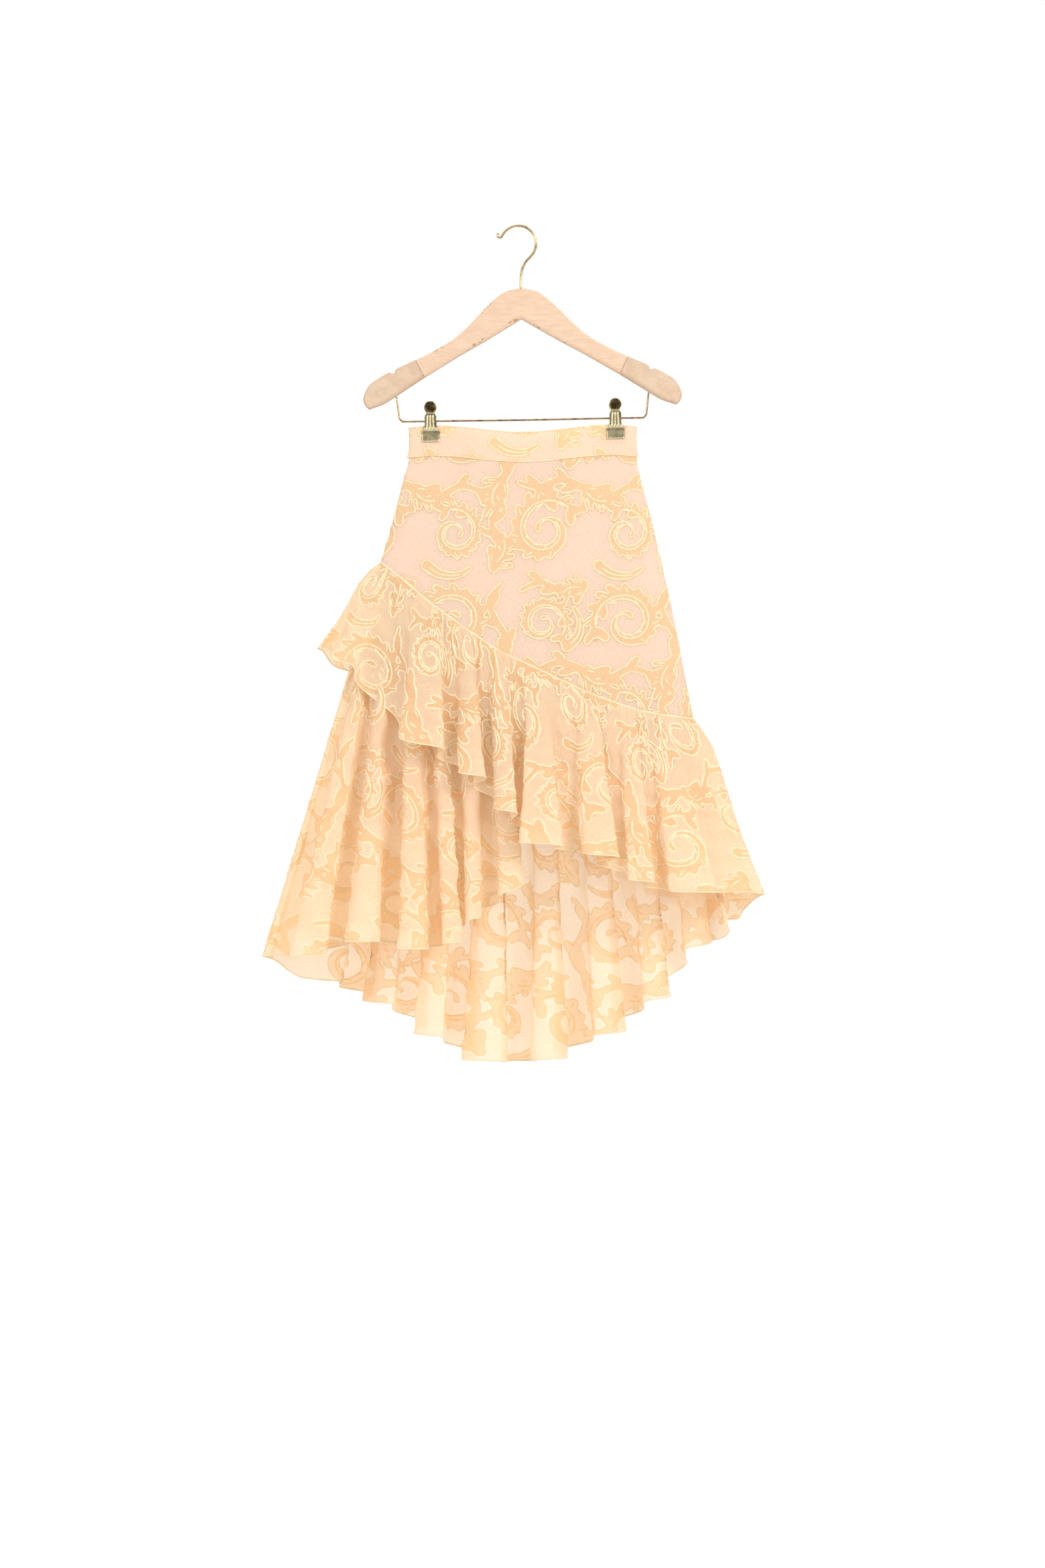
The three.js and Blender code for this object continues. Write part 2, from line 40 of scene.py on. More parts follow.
# The skirt's form, in millimetres as in the part: height, left edge, right edge, depth of each section
bodySections = np.array([
    (-265, -152.5, 165, 6.5), (-318, -150, 163.5, 8), (-354, -160.5, 171, 11.5), (-393, -170.2, 182, 15),
    (-458, -189, 197.5, 19.5), (-518, -203, 211, 22.5), (-580, -218, 223.6, 24.5), (-626, -228, 232, 25.5),
    (-690, -241, 245, 26), (-850, -262, 268, 26),
], float)
ruffleSeam = np.array([
    (-196, -459), (-160.5, -486.7), (-121.9, -519.8), (-75, -553.8), (-30.8, -584.2), (29, -612),
    (94.3, -643), (146.7, -662), (190.9, -673.4), (246, -680),
], float)
sectionPower = 2.5  # how square the flat sections are; 2 would be an ellipse
sectionReach = 14  # mm over which the corners of the section table are rounded
seamReach = 9
backSeamDip = 22
bandCentre = 6.6
bandTop = -274
bandHeight = 41
waistLevel = -290
clipSpacing = 255
slipHem = -823

# One row per fold, round from the left side: front or back, x at the seam, x at the hem, hem height,
# depth, lean over its neighbour, breadth
upperFolds = [
    ("front", -196, -274, -582, 0.3, 0, -0.2), ("front", -178, -244, -601, 0.9, 4, 0.4),
    ("front", -122, -128, -715, 1.15, 1, 0.6), ("front", -73, -67, -757, 1, 7, -0.1),
    ("front", -30, -18, -806, 1.2, 6, 0.1), ("front", 25, 36, -850, 1.1, -7, 0.5),
    ("front", 93, 104, -866, 1.1, 17, 0), ("front", 150, 166, -901, 0.6, 3, 0.4),
    ("front", 191, 232, -916, 0.8, 9, 0.4), ("front", 246, 331, -921, 0.5, 0, 0.6),
    ("back", 205, 285, -957, 0.9, -3, 0.2), ("back", 152, 206, -925, 1, 4, 0.3),
    ("back", 95, 127, -884, 1.1, -4, 0.1), ("back", 36, 50, -831, 0.9, 5, 0.3),
    ("back", -24, -28, -775, 1.1, 0, 0), ("back", -80, -104, -718, 0.9, -5, 0.3),
    ("back", -132, -175, -660, 1, 4, 0.2), ("back", -174, -240, -611, 0.7, 0, 0.2),
]
lowerFolds = [
    ("front", -196, -346, -1007, 0.3, 0, 0), ("front", -189, -288, -1004, 0.6, 3, 0.5),
    ("front", -178, -214, -983, 1.2, 3, -0.2), ("front", -146, -139, -993, 1, -4, 0.2),
    ("front", -116, -92, -984, 0.9, 5, 0.2), ("front", -66, -64, -952, 1.1, 3, 0),
    ("front", -26, -12, -912, 1.1, 6, 0.2), ("front", 24, 30, -760, 1, 0, 0),
    ("front", 86, 96, -738, 1, -2, 0.2), ("front", 150, 168, -776, 1, 2, 0),
    ("front", 205, 236, -865, 0.8, 0, 0.2), ("front", 246, 286, -972, 0.4, 0, 0.5),
    ("back", 214, 250, -993, 0.9, -4, 0.5), ("back", 160, 191, -1067, 1, -8, 0.5),
    ("back", 98, 124, -1115, 1.1, -11, 0.5), ("back", 36, 40, -1152, 1.1, -8, 0.5),
    ("back", -30, -49, -1154, 1.1, 7, 0.5), ("back", -84, -121, -1118, 1.1, 9, 0.4),
    ("back", -132, -192, -1073, 0.8, 6, 0.4), ("back", -172, -275, -1041, 0.6, 2, 0.4),
]


def mix(a, b, t):
    return a + (b - a) * t


def ease(low, high, value):
    t = np.clip((value - low) / (high - low), 0, 1)
    return t * t * (3 - 2 * t)


def signedPower(value, power):
    return np.sign(value) * np.abs(value) ** power


def lineRead(xs, ys, at):  # straight-line reading that runs on past the table's ends
    k = np.clip(np.searchsorted(xs, at), 1, len(xs) - 1)
    t = (at - xs[k - 1]) / (xs[k] - xs[k - 1])
    return ys[k - 1] + (ys[k] - ys[k - 1]) * t


def softRead(table, column, at, reach):  # the same, with its corners rounded over the reach
    rows = table if table[0, 0] < table[-1, 0] else table[::-1]
    at = np.asarray(at, float)
    shifts = np.linspace(-1, 1, 7) * reach
    weights = 1 - (np.linspace(-1, 1, 7) ** 2) * 0.7
    total = sum(w * lineRead(rows[:, 0], rows[:, column], at + s) for s, w in zip(shifts, weights))
    return total / weights.sum()


def smoothRead(values, at):  # smooth reading between the equal steps of a list
    k = np.floor(at).astype(int)
    t = at - k
    a, b, c, d = (values[np.clip(k + i, 0, len(values) - 1)] for i in (-1, 0, 1, 2))
    return b + 0.5 * t * (c - a + t * (2 * a - 5 * b + 4 * c - d + t * (3 * (b - c) + d - a)))


def smoothLine(knots, each, last=1):  # a smooth line through the knots, in that many steps from one to the next
    knots = np.array(knots, float)
    at = np.linspace(0, len(knots) - 1, each * (len(knots) - 1) + last)
    return np.stack([smoothRead(knots[:, k], at) for k in range(knots.shape[1])], 1)


def runLengths(line):  # how far along the line each of its points lies
    return np.concatenate([[0], np.cumsum(np.linalg.norm(np.diff(line, axis=0), axis=-1))])


def evenly(line, count):
    steps = runLengths(line)
    at = np.linspace(0, steps[-1], count)
    return np.stack([np.interp(at, steps, line[:, k]) for k in range(line.shape[1])], 1)


def thinned(line, spacing):
    return evenly(line, max(3, int(runLengths(line)[-1] / spacing) + 1))


def unit(vectors):
    return vectors / np.maximum(np.linalg.norm(vectors, axis=-1, keepdims=True), 1e-9)


def sectionAt(column, height):
    return softRead(bodySections, column, height, sectionReach)


def sectionPoint(angle, height, inset):
    height = np.asarray(height, float)
    left = sectionAt(1, height) + inset
    right = sectionAt(2, height) - inset
    depth = sectionAt(3, height) - inset
    x = (left + right) / 2 + (right - left) / 2 * signedPower(np.cos(angle), 2 / sectionPower)
    y = depth * signedPower(np.sin(angle), 2 / sectionPower)
    return np.stack(np.broadcast_arrays(x, y, height), -1)


def angleAt(x, left, right, side):
    across = np.clip((2 * x - left - right) / (right - left), -1, 1)
    turn = math.acos(signedPower(across, sectionPower / 2))
    return 2 * math.pi - turn if side == "front" else 2 * math.pi + turn


# The seam's height by angle round the skirt, closed in on because the section's width depends on the height
seamTurns = np.linspace(-2 * math.pi, 6 * math.pi, 4801)
seamLine = np.full_like(seamTurns, -600.0)
for step in range(14):
    seamLine = softRead(ruffleSeam, 1, sectionPoint(seamTurns, seamLine, 0)[..., 0], seamReach)
seamLine = seamLine - backSeamDip * np.maximum(0, np.sin(seamTurns))


def seamHeight(angle):
    return np.interp(angle, seamTurns, seamLine)


def unevenness(seed, count, shortest, longest):  # a few crossing waves that together look irregular
    random = np.random.default_rng(seed)
    turns = random.uniform(0, 2 * math.pi, count)
    lengths = random.uniform(shortest, longest, count)
    waves = np.stack([np.cos(turns) / lengths, np.sin(turns) / lengths, random.uniform(0, 1, count)], 1)

    def value(s, t):
        return sum(np.sin(2 * math.pi * (a * s + b * t + c)) for a, b, c in waves) / math.sqrt(count)

    return value


# A ruffle's folds, read smoothly at any place round the loop; fold crests stand at the whole numbers
def foldReader(ruffle):
    folds = ruffle["folds"]
    count = len(folds)
    seamAngles = []
    for fold in folds:
        height = float(softRead(ruffleSeam, 1, fold[1], seamReach))
        left, right = sectionPoint(np.array([math.pi, 0.0]), height, 0)[:, 0]
        seamAngles.append(angleAt(fold[1], left, right, fold[0]))
    hemAngles = [angleAt(fold[2], ruffle["left"], ruffle["right"], fold[0]) for fold in folds]
    turns = [0.0]
    for i, fold in enumerate(folds):
        turns.append(turns[-1] + (2 if folds[(i + 1) % count][0] == fold[0] else 1) * math.pi)

    def threeLoops(once, add):
        return np.concatenate([np.array(once, float) + add * loop for loop in (-1, 0, 1)])

    lists = {
        "seamAngle": threeLoops(seamAngles, 2 * math.pi),
        "hemAngle": threeLoops(hemAngles, 2 * math.pi),
        "turn": threeLoops(turns[:count], turns[count]),
    }
    for column, name in ((3, "height"), (4, "deep"), (5, "lean"), (6, "wide")):
        lists[name] = threeLoops([fold[column] for fold in folds], 0)
    return lambda name, u: smoothRead(lists[name], u + count)


def fannedPoint(ruffle, read, u, v):
    seamTurn = read("seamAngle", u)
    inset = ruffle["inset"] + ruffle["under"]
    top = sectionPoint(seamTurn, seamHeight(seamTurn), inset)
    top[..., 2] -= ruffle["below"]
    hemTurn = read("hemAngle", u)
    height = read("height", u - np.sin(2 * math.pi * u) / 14)
    drop = top[..., 2] - height
    middle = (ruffle["left"] + ruffle["right"]) / 2
    half = (ruffle["right"] - ruffle["left"]) / 2
    seamDepth = sectionAt(3, top[..., 2]) - inset
    hemX = middle + half * signedPower(np.cos(hemTurn), 2 / sectionPower)
    hemY = (seamDepth + ruffle["spread"] * drop) * signedPower(np.sin(hemTurn), 2 / sectionPower)
    return np.stack([
        mix(top[..., 0], hemX, v + ruffle["puff"] * v * (1 - v) ** 4),
        mix(top[..., 1], hemY, v ** ruffle["flare"]),
        mix(top[..., 2], height, v),
    ], -1)


def foldedPoint(ruffle, read, u, v):
    step = 0.02
    point = fannedPoint(ruffle, read, u, v)
    along = fannedPoint(ruffle, read, u + step, v) - fannedPoint(ruffle, read, u - step, v)
    along[..., 2] = 0
    length = np.linalg.norm(along, axis=-1)
    pitch = length / (2 * step)
    along /= np.maximum(length, 1e-6)[..., None]
    outward = np.stack([along[..., 1], -along[..., 0], np.zeros_like(u)], -1)
    drop = np.minimum(560, seamHeight(read("seamAngle", u)) - read("height", u))
    evenTurn = read("turn", u)
    turn = evenTurn - read("wide", u) * np.sin(2 * math.pi * u)
    settled = v * np.minimum(1, drop / 150)
    reach = ruffle["foldDepth"] * drop * read("deep", u) * v
    gathers = ruffle["gather"] * np.cos(2 * turn) * v * (1 - v) ** 3 * 9
    tuck = np.minimum(ruffle["overlap"] * pitch * settled / (4 * math.pi), 0.85 * reach)
    lean = read("lean", u) * settled * np.cos(2 * math.pi * u)
    point += outward * (reach * np.cos(turn) + gathers)[..., None]
    return point + along * (tuck * np.sin(2 * evenTurn) + lean)[..., None]


def pinchAt(x):
    away = np.abs(np.abs(x - bandCentre) - clipSpacing / 2)
    return 1 - ease(21, 66, away)


def bandEdge(x):  # the band's upper edge sags between the clips and drops outside them
    across = np.abs((x - bandCentre) / (clipSpacing / 2))
    sag = np.where(across < 1, 10 * np.cos(np.minimum(across, 1) * math.pi / 2) ** 2, 0)
    return bandTop + 0.005 * x - sag - 12 * np.maximum(across - 1, 0)


def waistbandPoint(angle, drop, inset):
    point = sectionPoint(angle, waistLevel - drop, inset)
    edge = sectionPoint(angle, waistLevel, 0)[..., 0]
    pinch = pinchAt(edge) * (1 - 0.6 * ease(27, 65.6, drop))
    full = np.abs(point[..., 1])
    flat = np.minimum(full, np.maximum(0.35 * full, 3.8 - inset))
    belly = 3 * (1 - pinch) * np.maximum(0, 1 - np.abs(edge - bandCentre) / 150)
    point[..., 1] = np.sign(point[..., 1]) * (mix(full, flat, pinch) + belly)
    point[..., 2] = bandEdge(edge) - drop
    return point


def hangingPoint(angle, drop, inset):  # drop is measured below the band's lower edge
    top = waistbandPoint(angle, np.full_like(angle, bandHeight), inset)
    point = sectionPoint(angle, top[..., 2] - 0.3 - drop, inset)
    settle = ease(0, 62, drop)
    point[..., 1] = mix(top[..., 1], point[..., 1], settle)
    return point


# Small puckers and soft unevenness of gathered cloth, by flat place on it: s round and t down from the seam.
# Gathers and creases are ridges of a height and pitch that fade out down the cloth, all in mm.
relief = {"lift": 0.8, "soft": 1.1, "small": 0.15, "ridges": [(2.4, 15, 30), (2.6, 41, 120)]}


def ruffleRelief(s, t, seed):
    soft = unevenness(seed, 6, 26, 75)(s, t)
    small = unevenness(seed + 1, 6, 9, 24)(s, t)
    wander = unevenness(seed + 2, 4, 25, 60)(s, t)
    ridges = sum(height * (0.5 + 0.5 * np.sin(2 * math.pi * s / pitch + 1.2 * wander)) ** 2 * np.exp(-t / fade)
                 for height, pitch, fade in relief["ridges"])
    uneven = relief["soft"] * soft * np.minimum(1, t / 60) + relief["small"] * small
    return relief["lift"] + uneven + ridges * np.minimum(1, t / 9)


# A cloth is a grid of points in millimetres, rows down and columns round, with its outward directions
def makeCloth(points):
    normals = unit(np.cross(np.gradient(points, axis=1), np.gradient(points, axis=0)))
    middle = points[..., :2].mean((0, 1))
    if np.sum(normals[..., :2] * (points[..., :2] - middle)) < 0:
        normals = -normals
    return {"points": points, "normals": normals}


def setAttribute(mesh, name, values):  # one number a point, or one vector a point
    values = np.asarray(values, float)
    attribute = mesh.attributes.new(name, "FLOAT_VECTOR" if values.ndim == 2 else "FLOAT", "POINT")
    attribute.data.foreach_set("vector" if values.ndim == 2 else "value", values.ravel())


def addObject(name, data):
    thing = bpy.data.objects.new(name, data)
    bpy.context.scene.collection.objects.link(thing)
    return thing


def makeMesh(name, points, faces, material, attributes=None):
    mesh = bpy.data.meshes.new(name)
    mesh.from_pydata([], [], [])
    faces = np.asarray(faces, np.int32)
    mesh.vertices.add(len(points))
    mesh.vertices.foreach_set("co", (np.asarray(points, float) * millimetre).ravel())
    mesh.loops.add(faces.size)
    mesh.loops.foreach_set("vertex_index", faces.ravel())
    mesh.polygons.add(len(faces))
    mesh.polygons.foreach_set("loop_start", np.arange(len(faces), dtype=np.int32) * faces.shape[1])
    mesh.polygons.foreach_set("use_smooth", np.ones(len(faces), bool))
    mesh.update(calc_edges=True)
    for key, values in (attributes or {}).items():
        setAttribute(mesh, key, values)
    mesh.materials.append(material)
    return addObject(name, mesh)


def gridFaces(rows, columns, wrap=False):
    r, c = np.meshgrid(np.arange(rows - 1), np.arange(columns - (0 if wrap else 1)), indexing="ij")
    following = (c + 1) % columns
    return np.stack([r * columns + c, (r + 1) * columns + c, (r + 1) * columns + following,
                     r * columns + following], -1).reshape(-1, 4)


def settle(piece, slot, *nodes):  # puts the piece on the part's one body, in place of the nodes
    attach(piece, "root")
    if nodes:
        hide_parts(*nodes)
    return piece


def clothPiece(name, cloth, material, slot, node):
    points = cloth["points"]
    flat = np.stack([cloth["s"], cloth["t"], np.zeros_like(cloth["s"])], -1)
    attributes = {"scroll": cloth["scroll"].ravel(), "fabric": flat.reshape(-1, 3)}
    piece = makeMesh(name, points.reshape(-1, 3), gridFaces(*points.shape[:2]), material, attributes)
    return settle(piece, slot, node)


# The jacquard's scrollwork: one repeat of leaf scrolls and sprigs, drawn as strokes of changing half width.
# It is kept as a field of distances to the pattern's edge, one value a millimetre, negative inside.
def arcStroke(x, y, size, start, flip, turns=1.42):  # a scroll that winds inward and ends in a small bud
    q = np.linspace(0, 1, 110)
    radius = size * (1 - 0.8 * q ** 0.85)
    angle = math.radians(start) + flip * q * turns * 2 * math.pi
    line = np.stack([x + radius * np.cos(angle), y + radius * np.sin(angle)], 1)
    half = size * (0.14 * np.sin(math.pi * np.minimum(q / 0.8, 1)) ** 0.8 + 0.035)
    half[-8:] = size * 0.075
    return line, half


def leafLobes(line, places, sides, length, half, lean):  # short rounded lobes that lean along a stroke
    way = unit(np.gradient(line, axis=0))
    strokes = []
    for i, (place, side) in enumerate(zip(places, sides)):
        k = int(place * (len(line) - 1))
        out = np.array([way[k, 1], -way[k, 0]]) * side
        q = np.linspace(0, 1, 9)[:, None]
        size = length * (1 - 0.35 * place) * (1 + 0.2 * math.sin(5 * i))
        lobe = line[k] + out * q * size + way[k] * lean * size * q ** 1.8
        strokes.append((lobe, half * (1.05 - 0.25 * np.abs(q[:, 0] - 0.5))))
    return strokes


def leafFan(x, y, size, direction):  # a bent leaf with rounded lobes down both of its sides
    q = np.linspace(0, 1, 30)
    way = np.array([math.cos(math.radians(direction)), math.sin(math.radians(direction))])
    side = np.array([-way[1], way[0]])
    line = np.array([x, y]) + (way * q[:, None] + side * 0.2 * np.sin(math.pi * q)[:, None]) * size
    lobes = [(line, size * (0.15 - 0.07 * q))]
    lobes += leafLobes(line, [0.02, 0.24, 0.46, 0.7], [1] * 4, size * 0.38, size * 0.092, 0.75)
    lobes += leafLobes(line, [0.1, 0.33, 0.56, 0.78], [-1] * 4, size * 0.38, size * 0.09, 0.8)
    return lobes


repeat = {
    "wide": 236, "tall": 252, "far": 9.0, "outline": -0.3, "outlineStep": 3.7, "veinStep": 3.6,
    "scrolls": [(60, 62, 50, 150, 1), (182, 188, 50, 335, -1), (180, 64, 36, 50, -1), (58, 192, 38, 235, 1)],
    "fans": [(122, 118, 46, 100), (112, 236, 44, -75), (0, 132, 40, 20), (236, 16, 36, 160)],
    "stems": [
        [(124, 116), (134, 92), (118, 64), (106, 34), (122, 12)], [(112, 240), (122, 206), (108, 176), (126, 140)],
        [(4, 128), (34, 140), (66, 126), (98, 134), (122, 118)], [(236, 10), (210, 22), (178, 8), (150, 18)],
        [(232, 128), (204, 118), (172, 128), (146, 122)],
    ],
    "commas": [
        [(214, 96), (228, 82), (231, 60), (222, 42)], [(20, 236), (38, 248), (62, 250), (80, 240)],
    ],
}
fills = []
veins = []
for x, y, size, start, flip in repeat["scrolls"]:
    line, half = arcStroke(x, y, size, start, flip)
    fills.append((line, half))
    places = np.linspace(0.02, 0.52, 12)
    fills += leafLobes(line, places, [flip] * 12, size * 0.22, size * 0.105, -0.7)
    fills += leafLobes(line, [0.03, 0.12], [-flip] * 2, size * 0.3, size * 0.13, -0.7)
    veins.append(arcStroke(x, y, size * 0.94, start + 10 * flip, flip, 1.34)[0][4:86])
    for lobe, width in leafLobes(line, np.linspace(0.14, 0.6, 8), [-flip] * 8, size * 0.27, 1, 1.0):
        veins.append(lobe[3:])
    for lobe, width in leafLobes(line, places[1::2], [flip] * 6, size * 0.24, 1, -0.75):
        veins.append(lobe[2:])
for x, y, size, direction in repeat["fans"]:
    lobes = leafFan(x, y, size, direction)
    fills += lobes
    veins += [lobes[0][0][3:-4]] + [line[3:-1] for line, half in lobes[1::2]]
for knots in repeat["stems"]:
    line = smoothLine(knots, 26, 0)
    fills.append((line, np.linspace(6.6, 3.4, len(line))))
    fills += leafLobes(line, [0.12, 0.3, 0.5, 0.7], [1, -1, 1, -1], 15, 5.4, 0.9)
for knots in repeat["commas"]:
    line = smoothLine(knots, 26, 0)
    fills.append((line, 7.6 * np.linspace(1, 0.25, len(line)) ** 0.8))
    veins.append(line[8:-20])
field = np.full((repeat["tall"], repeat["wide"]), repeat["far"])
for line, half in fills:
    low = np.floor(line.min(0) - half.max() - 7).astype(int)
    high = np.ceil(line.max(0) + half.max() + 7).astype(int)
    xs = np.arange(low[0], high[0] + 1)
    ys = np.arange(low[1], high[1] + 1)
    gaps = np.hypot(xs[None, :, None] - line[:, 0], ys[:, None, None] - line[:, 1]) - half
    spot = np.ix_(ys % repeat["tall"], xs % repeat["wide"])
    field[spot] = np.minimum(field[spot], gaps.min(-1))


def contourLines(values, level):  # lines of equal value through a grid, each a run of points
    links = {}
    inside = values < level
    mixed = inside[:-1, :-1].astype(int) + inside[1:, :-1] + inside[:-1, 1:] + inside[1:, 1:]
    for r, c in zip(*np.nonzero((mixed > 0) & (mixed < 4))):
        sides = [(r, c, r, c + 1), (r, c + 1, r + 1, c + 1), (r + 1, c, r + 1, c + 1), (r, c, r + 1, c)]
        cut = [s for s in sides if inside[s[0], s[1]] != inside[s[2], s[3]]]
        for a, b in zip(cut[::2], cut[1::2]):
            links.setdefault(a, []).append(b)
            links.setdefault(b, []).append(a)
    lines = []
    starts = sorted(links, key=lambda key: len(links[key]))
    left = set(links)
    for start in starts:
        if start not in left:
            continue
        run = [start]
        left.discard(start)
        while True:
            following = [n for n in links[run[-1]] if n in left]
            if not following:
                break
            run.append(following[0])
            left.discard(following[0])
        if start in links[run[-1]] and len(run) > 2:
            run.append(start)
        points = []
        for ra, ca, rb, cb in run:
            t = (level - values[ra, ca]) / (values[rb, cb] - values[ra, ca])
            points.append((ca + (cb - ca) * t, ra + (rb - ra) * t))
        if len(points) > 5:
            points = np.array(points)
            points[1:-1] = (points[:-2] + 2 * points[1:-1] + points[2:]) / 4
            lines.append(points)
    return lines


wrapped = np.pad(field, ((0, 1), (0, 1)), mode="wrap")
outlines = [thinned(line, repeat["outlineStep"]) for line in contourLines(wrapped, repeat["outline"])]
veinLines = [thinned(line, repeat["veinStep"]) for line in veins]
print("scrollwork", len(outlines), "outlines", len(veinLines), "veins")


def gridRead(values, row, column):
    rows, columns = values.shape[:2]
    r = np.clip(np.floor(row).astype(int), 0, rows - 2)
    c = np.clip(np.floor(column).astype(int), 0, columns - 2)
    fr, fc = row - r, column - c
    if values.ndim == 3:
        fr, fc = fr[..., None], fc[..., None]
    return mix(mix(values[r, c], values[r, c + 1], fc), mix(values[r + 1, c], values[r + 1, c + 1], fc), fr)


# The pattern is laid on a cloth by its flat coordinates, s across and t down, turned and shifted for each cut
def patternPlace(s, t, turn, shift):
    x = s * math.cos(turn) - t * math.sin(turn) + shift[0]
    return x, s * math.sin(turn) + t * math.cos(turn) + shift[1]


def layPattern(cloth, s, t, degrees, shift):
    cloth.update(s=s, t=t, turn=math.radians(degrees), shift=shift)
    x, y = patternPlace(s, t, cloth["turn"], shift)
    cloth["scroll"] = gridRead(wrapped, np.mod(y, repeat["tall"]), np.mod(x, repeat["wide"]))


def placeOnCloth(cloth, s, t):  # the grid place with flat coordinates s and t, found by closing in on it
    rows, columns = cloth["s"].shape
    middle = rows // 2
    column = np.interp(s, cloth["s"][middle], np.arange(columns))
    foot = np.interp(column, np.arange(columns), cloth["t"][-1])
    head = np.interp(column, np.arange(columns), cloth["t"][0])
    row = (t - head) / np.maximum(foot - head, 1) * (rows - 1)
    sDown, sRound = np.gradient(cloth["s"])
    tDown, tRound = np.gradient(cloth["t"])
    for attempt in range(7):
        r, c = np.clip(row, 0, rows - 1), np.clip(column, 0, columns - 1)
        es, et = s - gridRead(cloth["s"], r, c), t - gridRead(cloth["t"], r, c)
        a, b = gridRead(sDown, r, c), gridRead(sRound, r, c)
        d, e = gridRead(tDown, r, c), gridRead(tRound, r, c)
        scale = a * e - b * d
        scale = np.where(np.abs(scale) < 1e-6, 1e-6, scale)
        row = r + np.clip((e * es - b * et) / scale, -30, 30)
        column = c + np.clip((a * et - d * es) / scale, -30, 30)
    inside = (row >= 0.3) & (row <= rows - 1.3) & (column >= 0) & (column <= columns - 1)
    return row, column, inside


def cordMesh(name, cloth, half, rise, material):  # raised yarn along every outline and vein on the cloth
    turn, shift = cloth["turn"], cloth["shift"]
    s, t = cloth["s"], cloth["t"]
    x, y = patternPlace(s, t, turn, shift)
    columns = range(math.floor(x.min() / repeat["wide"]), math.ceil(x.max() / repeat["wide"]))
    rows = range(math.floor(y.min() / repeat["tall"]), math.ceil(y.max() / repeat["tall"]))
    runs = [line + (i * repeat["wide"], j * repeat["tall"])
            for i in columns for j in rows for line in outlines + veinLines]
    joined = np.concatenate(runs) - shift
    run = np.repeat(np.arange(len(runs)), [len(line) for line in runs])
    ps, pt = patternPlace(joined[:, 0], joined[:, 1], -turn, (0, 0))
    row, column, inside = placeOnCloth(cloth, ps, pt)
    row, column = np.clip(row, 0, s.shape[0] - 1), np.clip(column, 0, s.shape[1] - 1)
    points = gridRead(cloth["points"], row, column)
    normals = unit(gridRead(cloth["normals"], row, column))
    step = np.linalg.norm(np.diff(points, axis=0), axis=1)
    joinedPair = inside[1:] & inside[:-1] & (run[1:] == run[:-1]) & (step < 9)
    before = np.concatenate([[False], joinedPair])
    after = np.concatenate([joinedPair, [False]])
    used = before | after
    way = np.zeros_like(points)
    way[:-1][joinedPair] += np.diff(points, axis=0)[joinedPair]
    way[1:][joinedPair] += np.diff(points, axis=0)[joinedPair]
    irregular = unevenness(5, 5, 5, 16)(ps, pt)
    width = half * np.where(before & after, 1, 0.45) * (1 + 0.22 * irregular)
    height = rise * np.where(before & after, 1, 0.4) * (1 + 0.15 * irregular)
    edge = unit(np.cross(normals, way)) * width[:, None]
    foot, crest = normals * 0.12, normals * height[:, None]
    corners = np.stack([points - edge + foot, points - 0.45 * edge + crest, points + 0.45 * edge + crest,
                        points + edge + foot], 1)
    place = np.cumsum(used) - 1
    first = place[:-1][joinedPair] * 4
    second = place[1:][joinedPair] * 4
    faces = np.concatenate([np.stack([first + k, second + k, second + k + 1, first + k + 1], 1) for k in range(3)])
    flat = np.stack([ps, pt, np.zeros_like(ps)], 1)[used].repeat(4, 0)
    return settle(makeMesh(name, corners[used].reshape(-1, 3), faces, material, {"fabric": flat}), "organza")


def tubeMesh(name, line, radius, sides, material):
    line = np.asarray(line, float)
    way = unit(np.gradient(line, axis=0))
    side = np.cross(way, [0, 1, 0])
    weak = np.linalg.norm(side, axis=1) < 0.2
    side[weak] = np.cross(way[weak], [0, 0, 1])
    for i in range(1, len(line)):  # carried along, so that the tube doesn't twist
        side[i] = side[i - 1] - way[i] * (side[i - 1] @ way[i])
        side[i] /= np.linalg.norm(side[i])
    side[0] /= np.linalg.norm(side[0])
    other = np.cross(way, side)
    turn = np.linspace(0, 2 * math.pi, sides, endpoint=False)
    radius = np.broadcast_to(np.asarray(radius, float), len(line))
    ring = side[:, None] * np.cos(turn)[:, None] + other[:, None] * np.sin(turn)[:, None]
    points = (line[:, None] + ring * radius[:, None, None]).reshape(-1, 3)
    ends = np.stack([line[0] - way[0] * radius[0] * 0.3, line[-1] + way[-1] * radius[-1] * 0.3])
    k = np.arange(0, sides, 2)
    foot = (len(line) - 1) * sides
    first, last = foot + sides, foot + sides + 1
    caps = [np.stack([np.full_like(k, first), (k + 2) % sides, k + 1, k], 1),
            np.stack([np.full_like(k, last), foot + k, foot + k + 1, foot + (k + 2) % sides], 1)]
    faces = np.concatenate([gridFaces(len(line), sides, True)] + caps)
    return makeMesh(name, np.concatenate([points, ends]), faces, material)


def edgeRoll(name, cloth, row, radius, material, slot="organza"):  # a narrow rolled hem along one row of a cloth
    line = cloth["points"][row]
    s = runLengths(line)
    thick = radius * (1 + 0.25 * unevenness(9, 5, 6, 25)(s, s * 0))
    return settle(tubeMesh(name, line, thick, 6, material), slot)


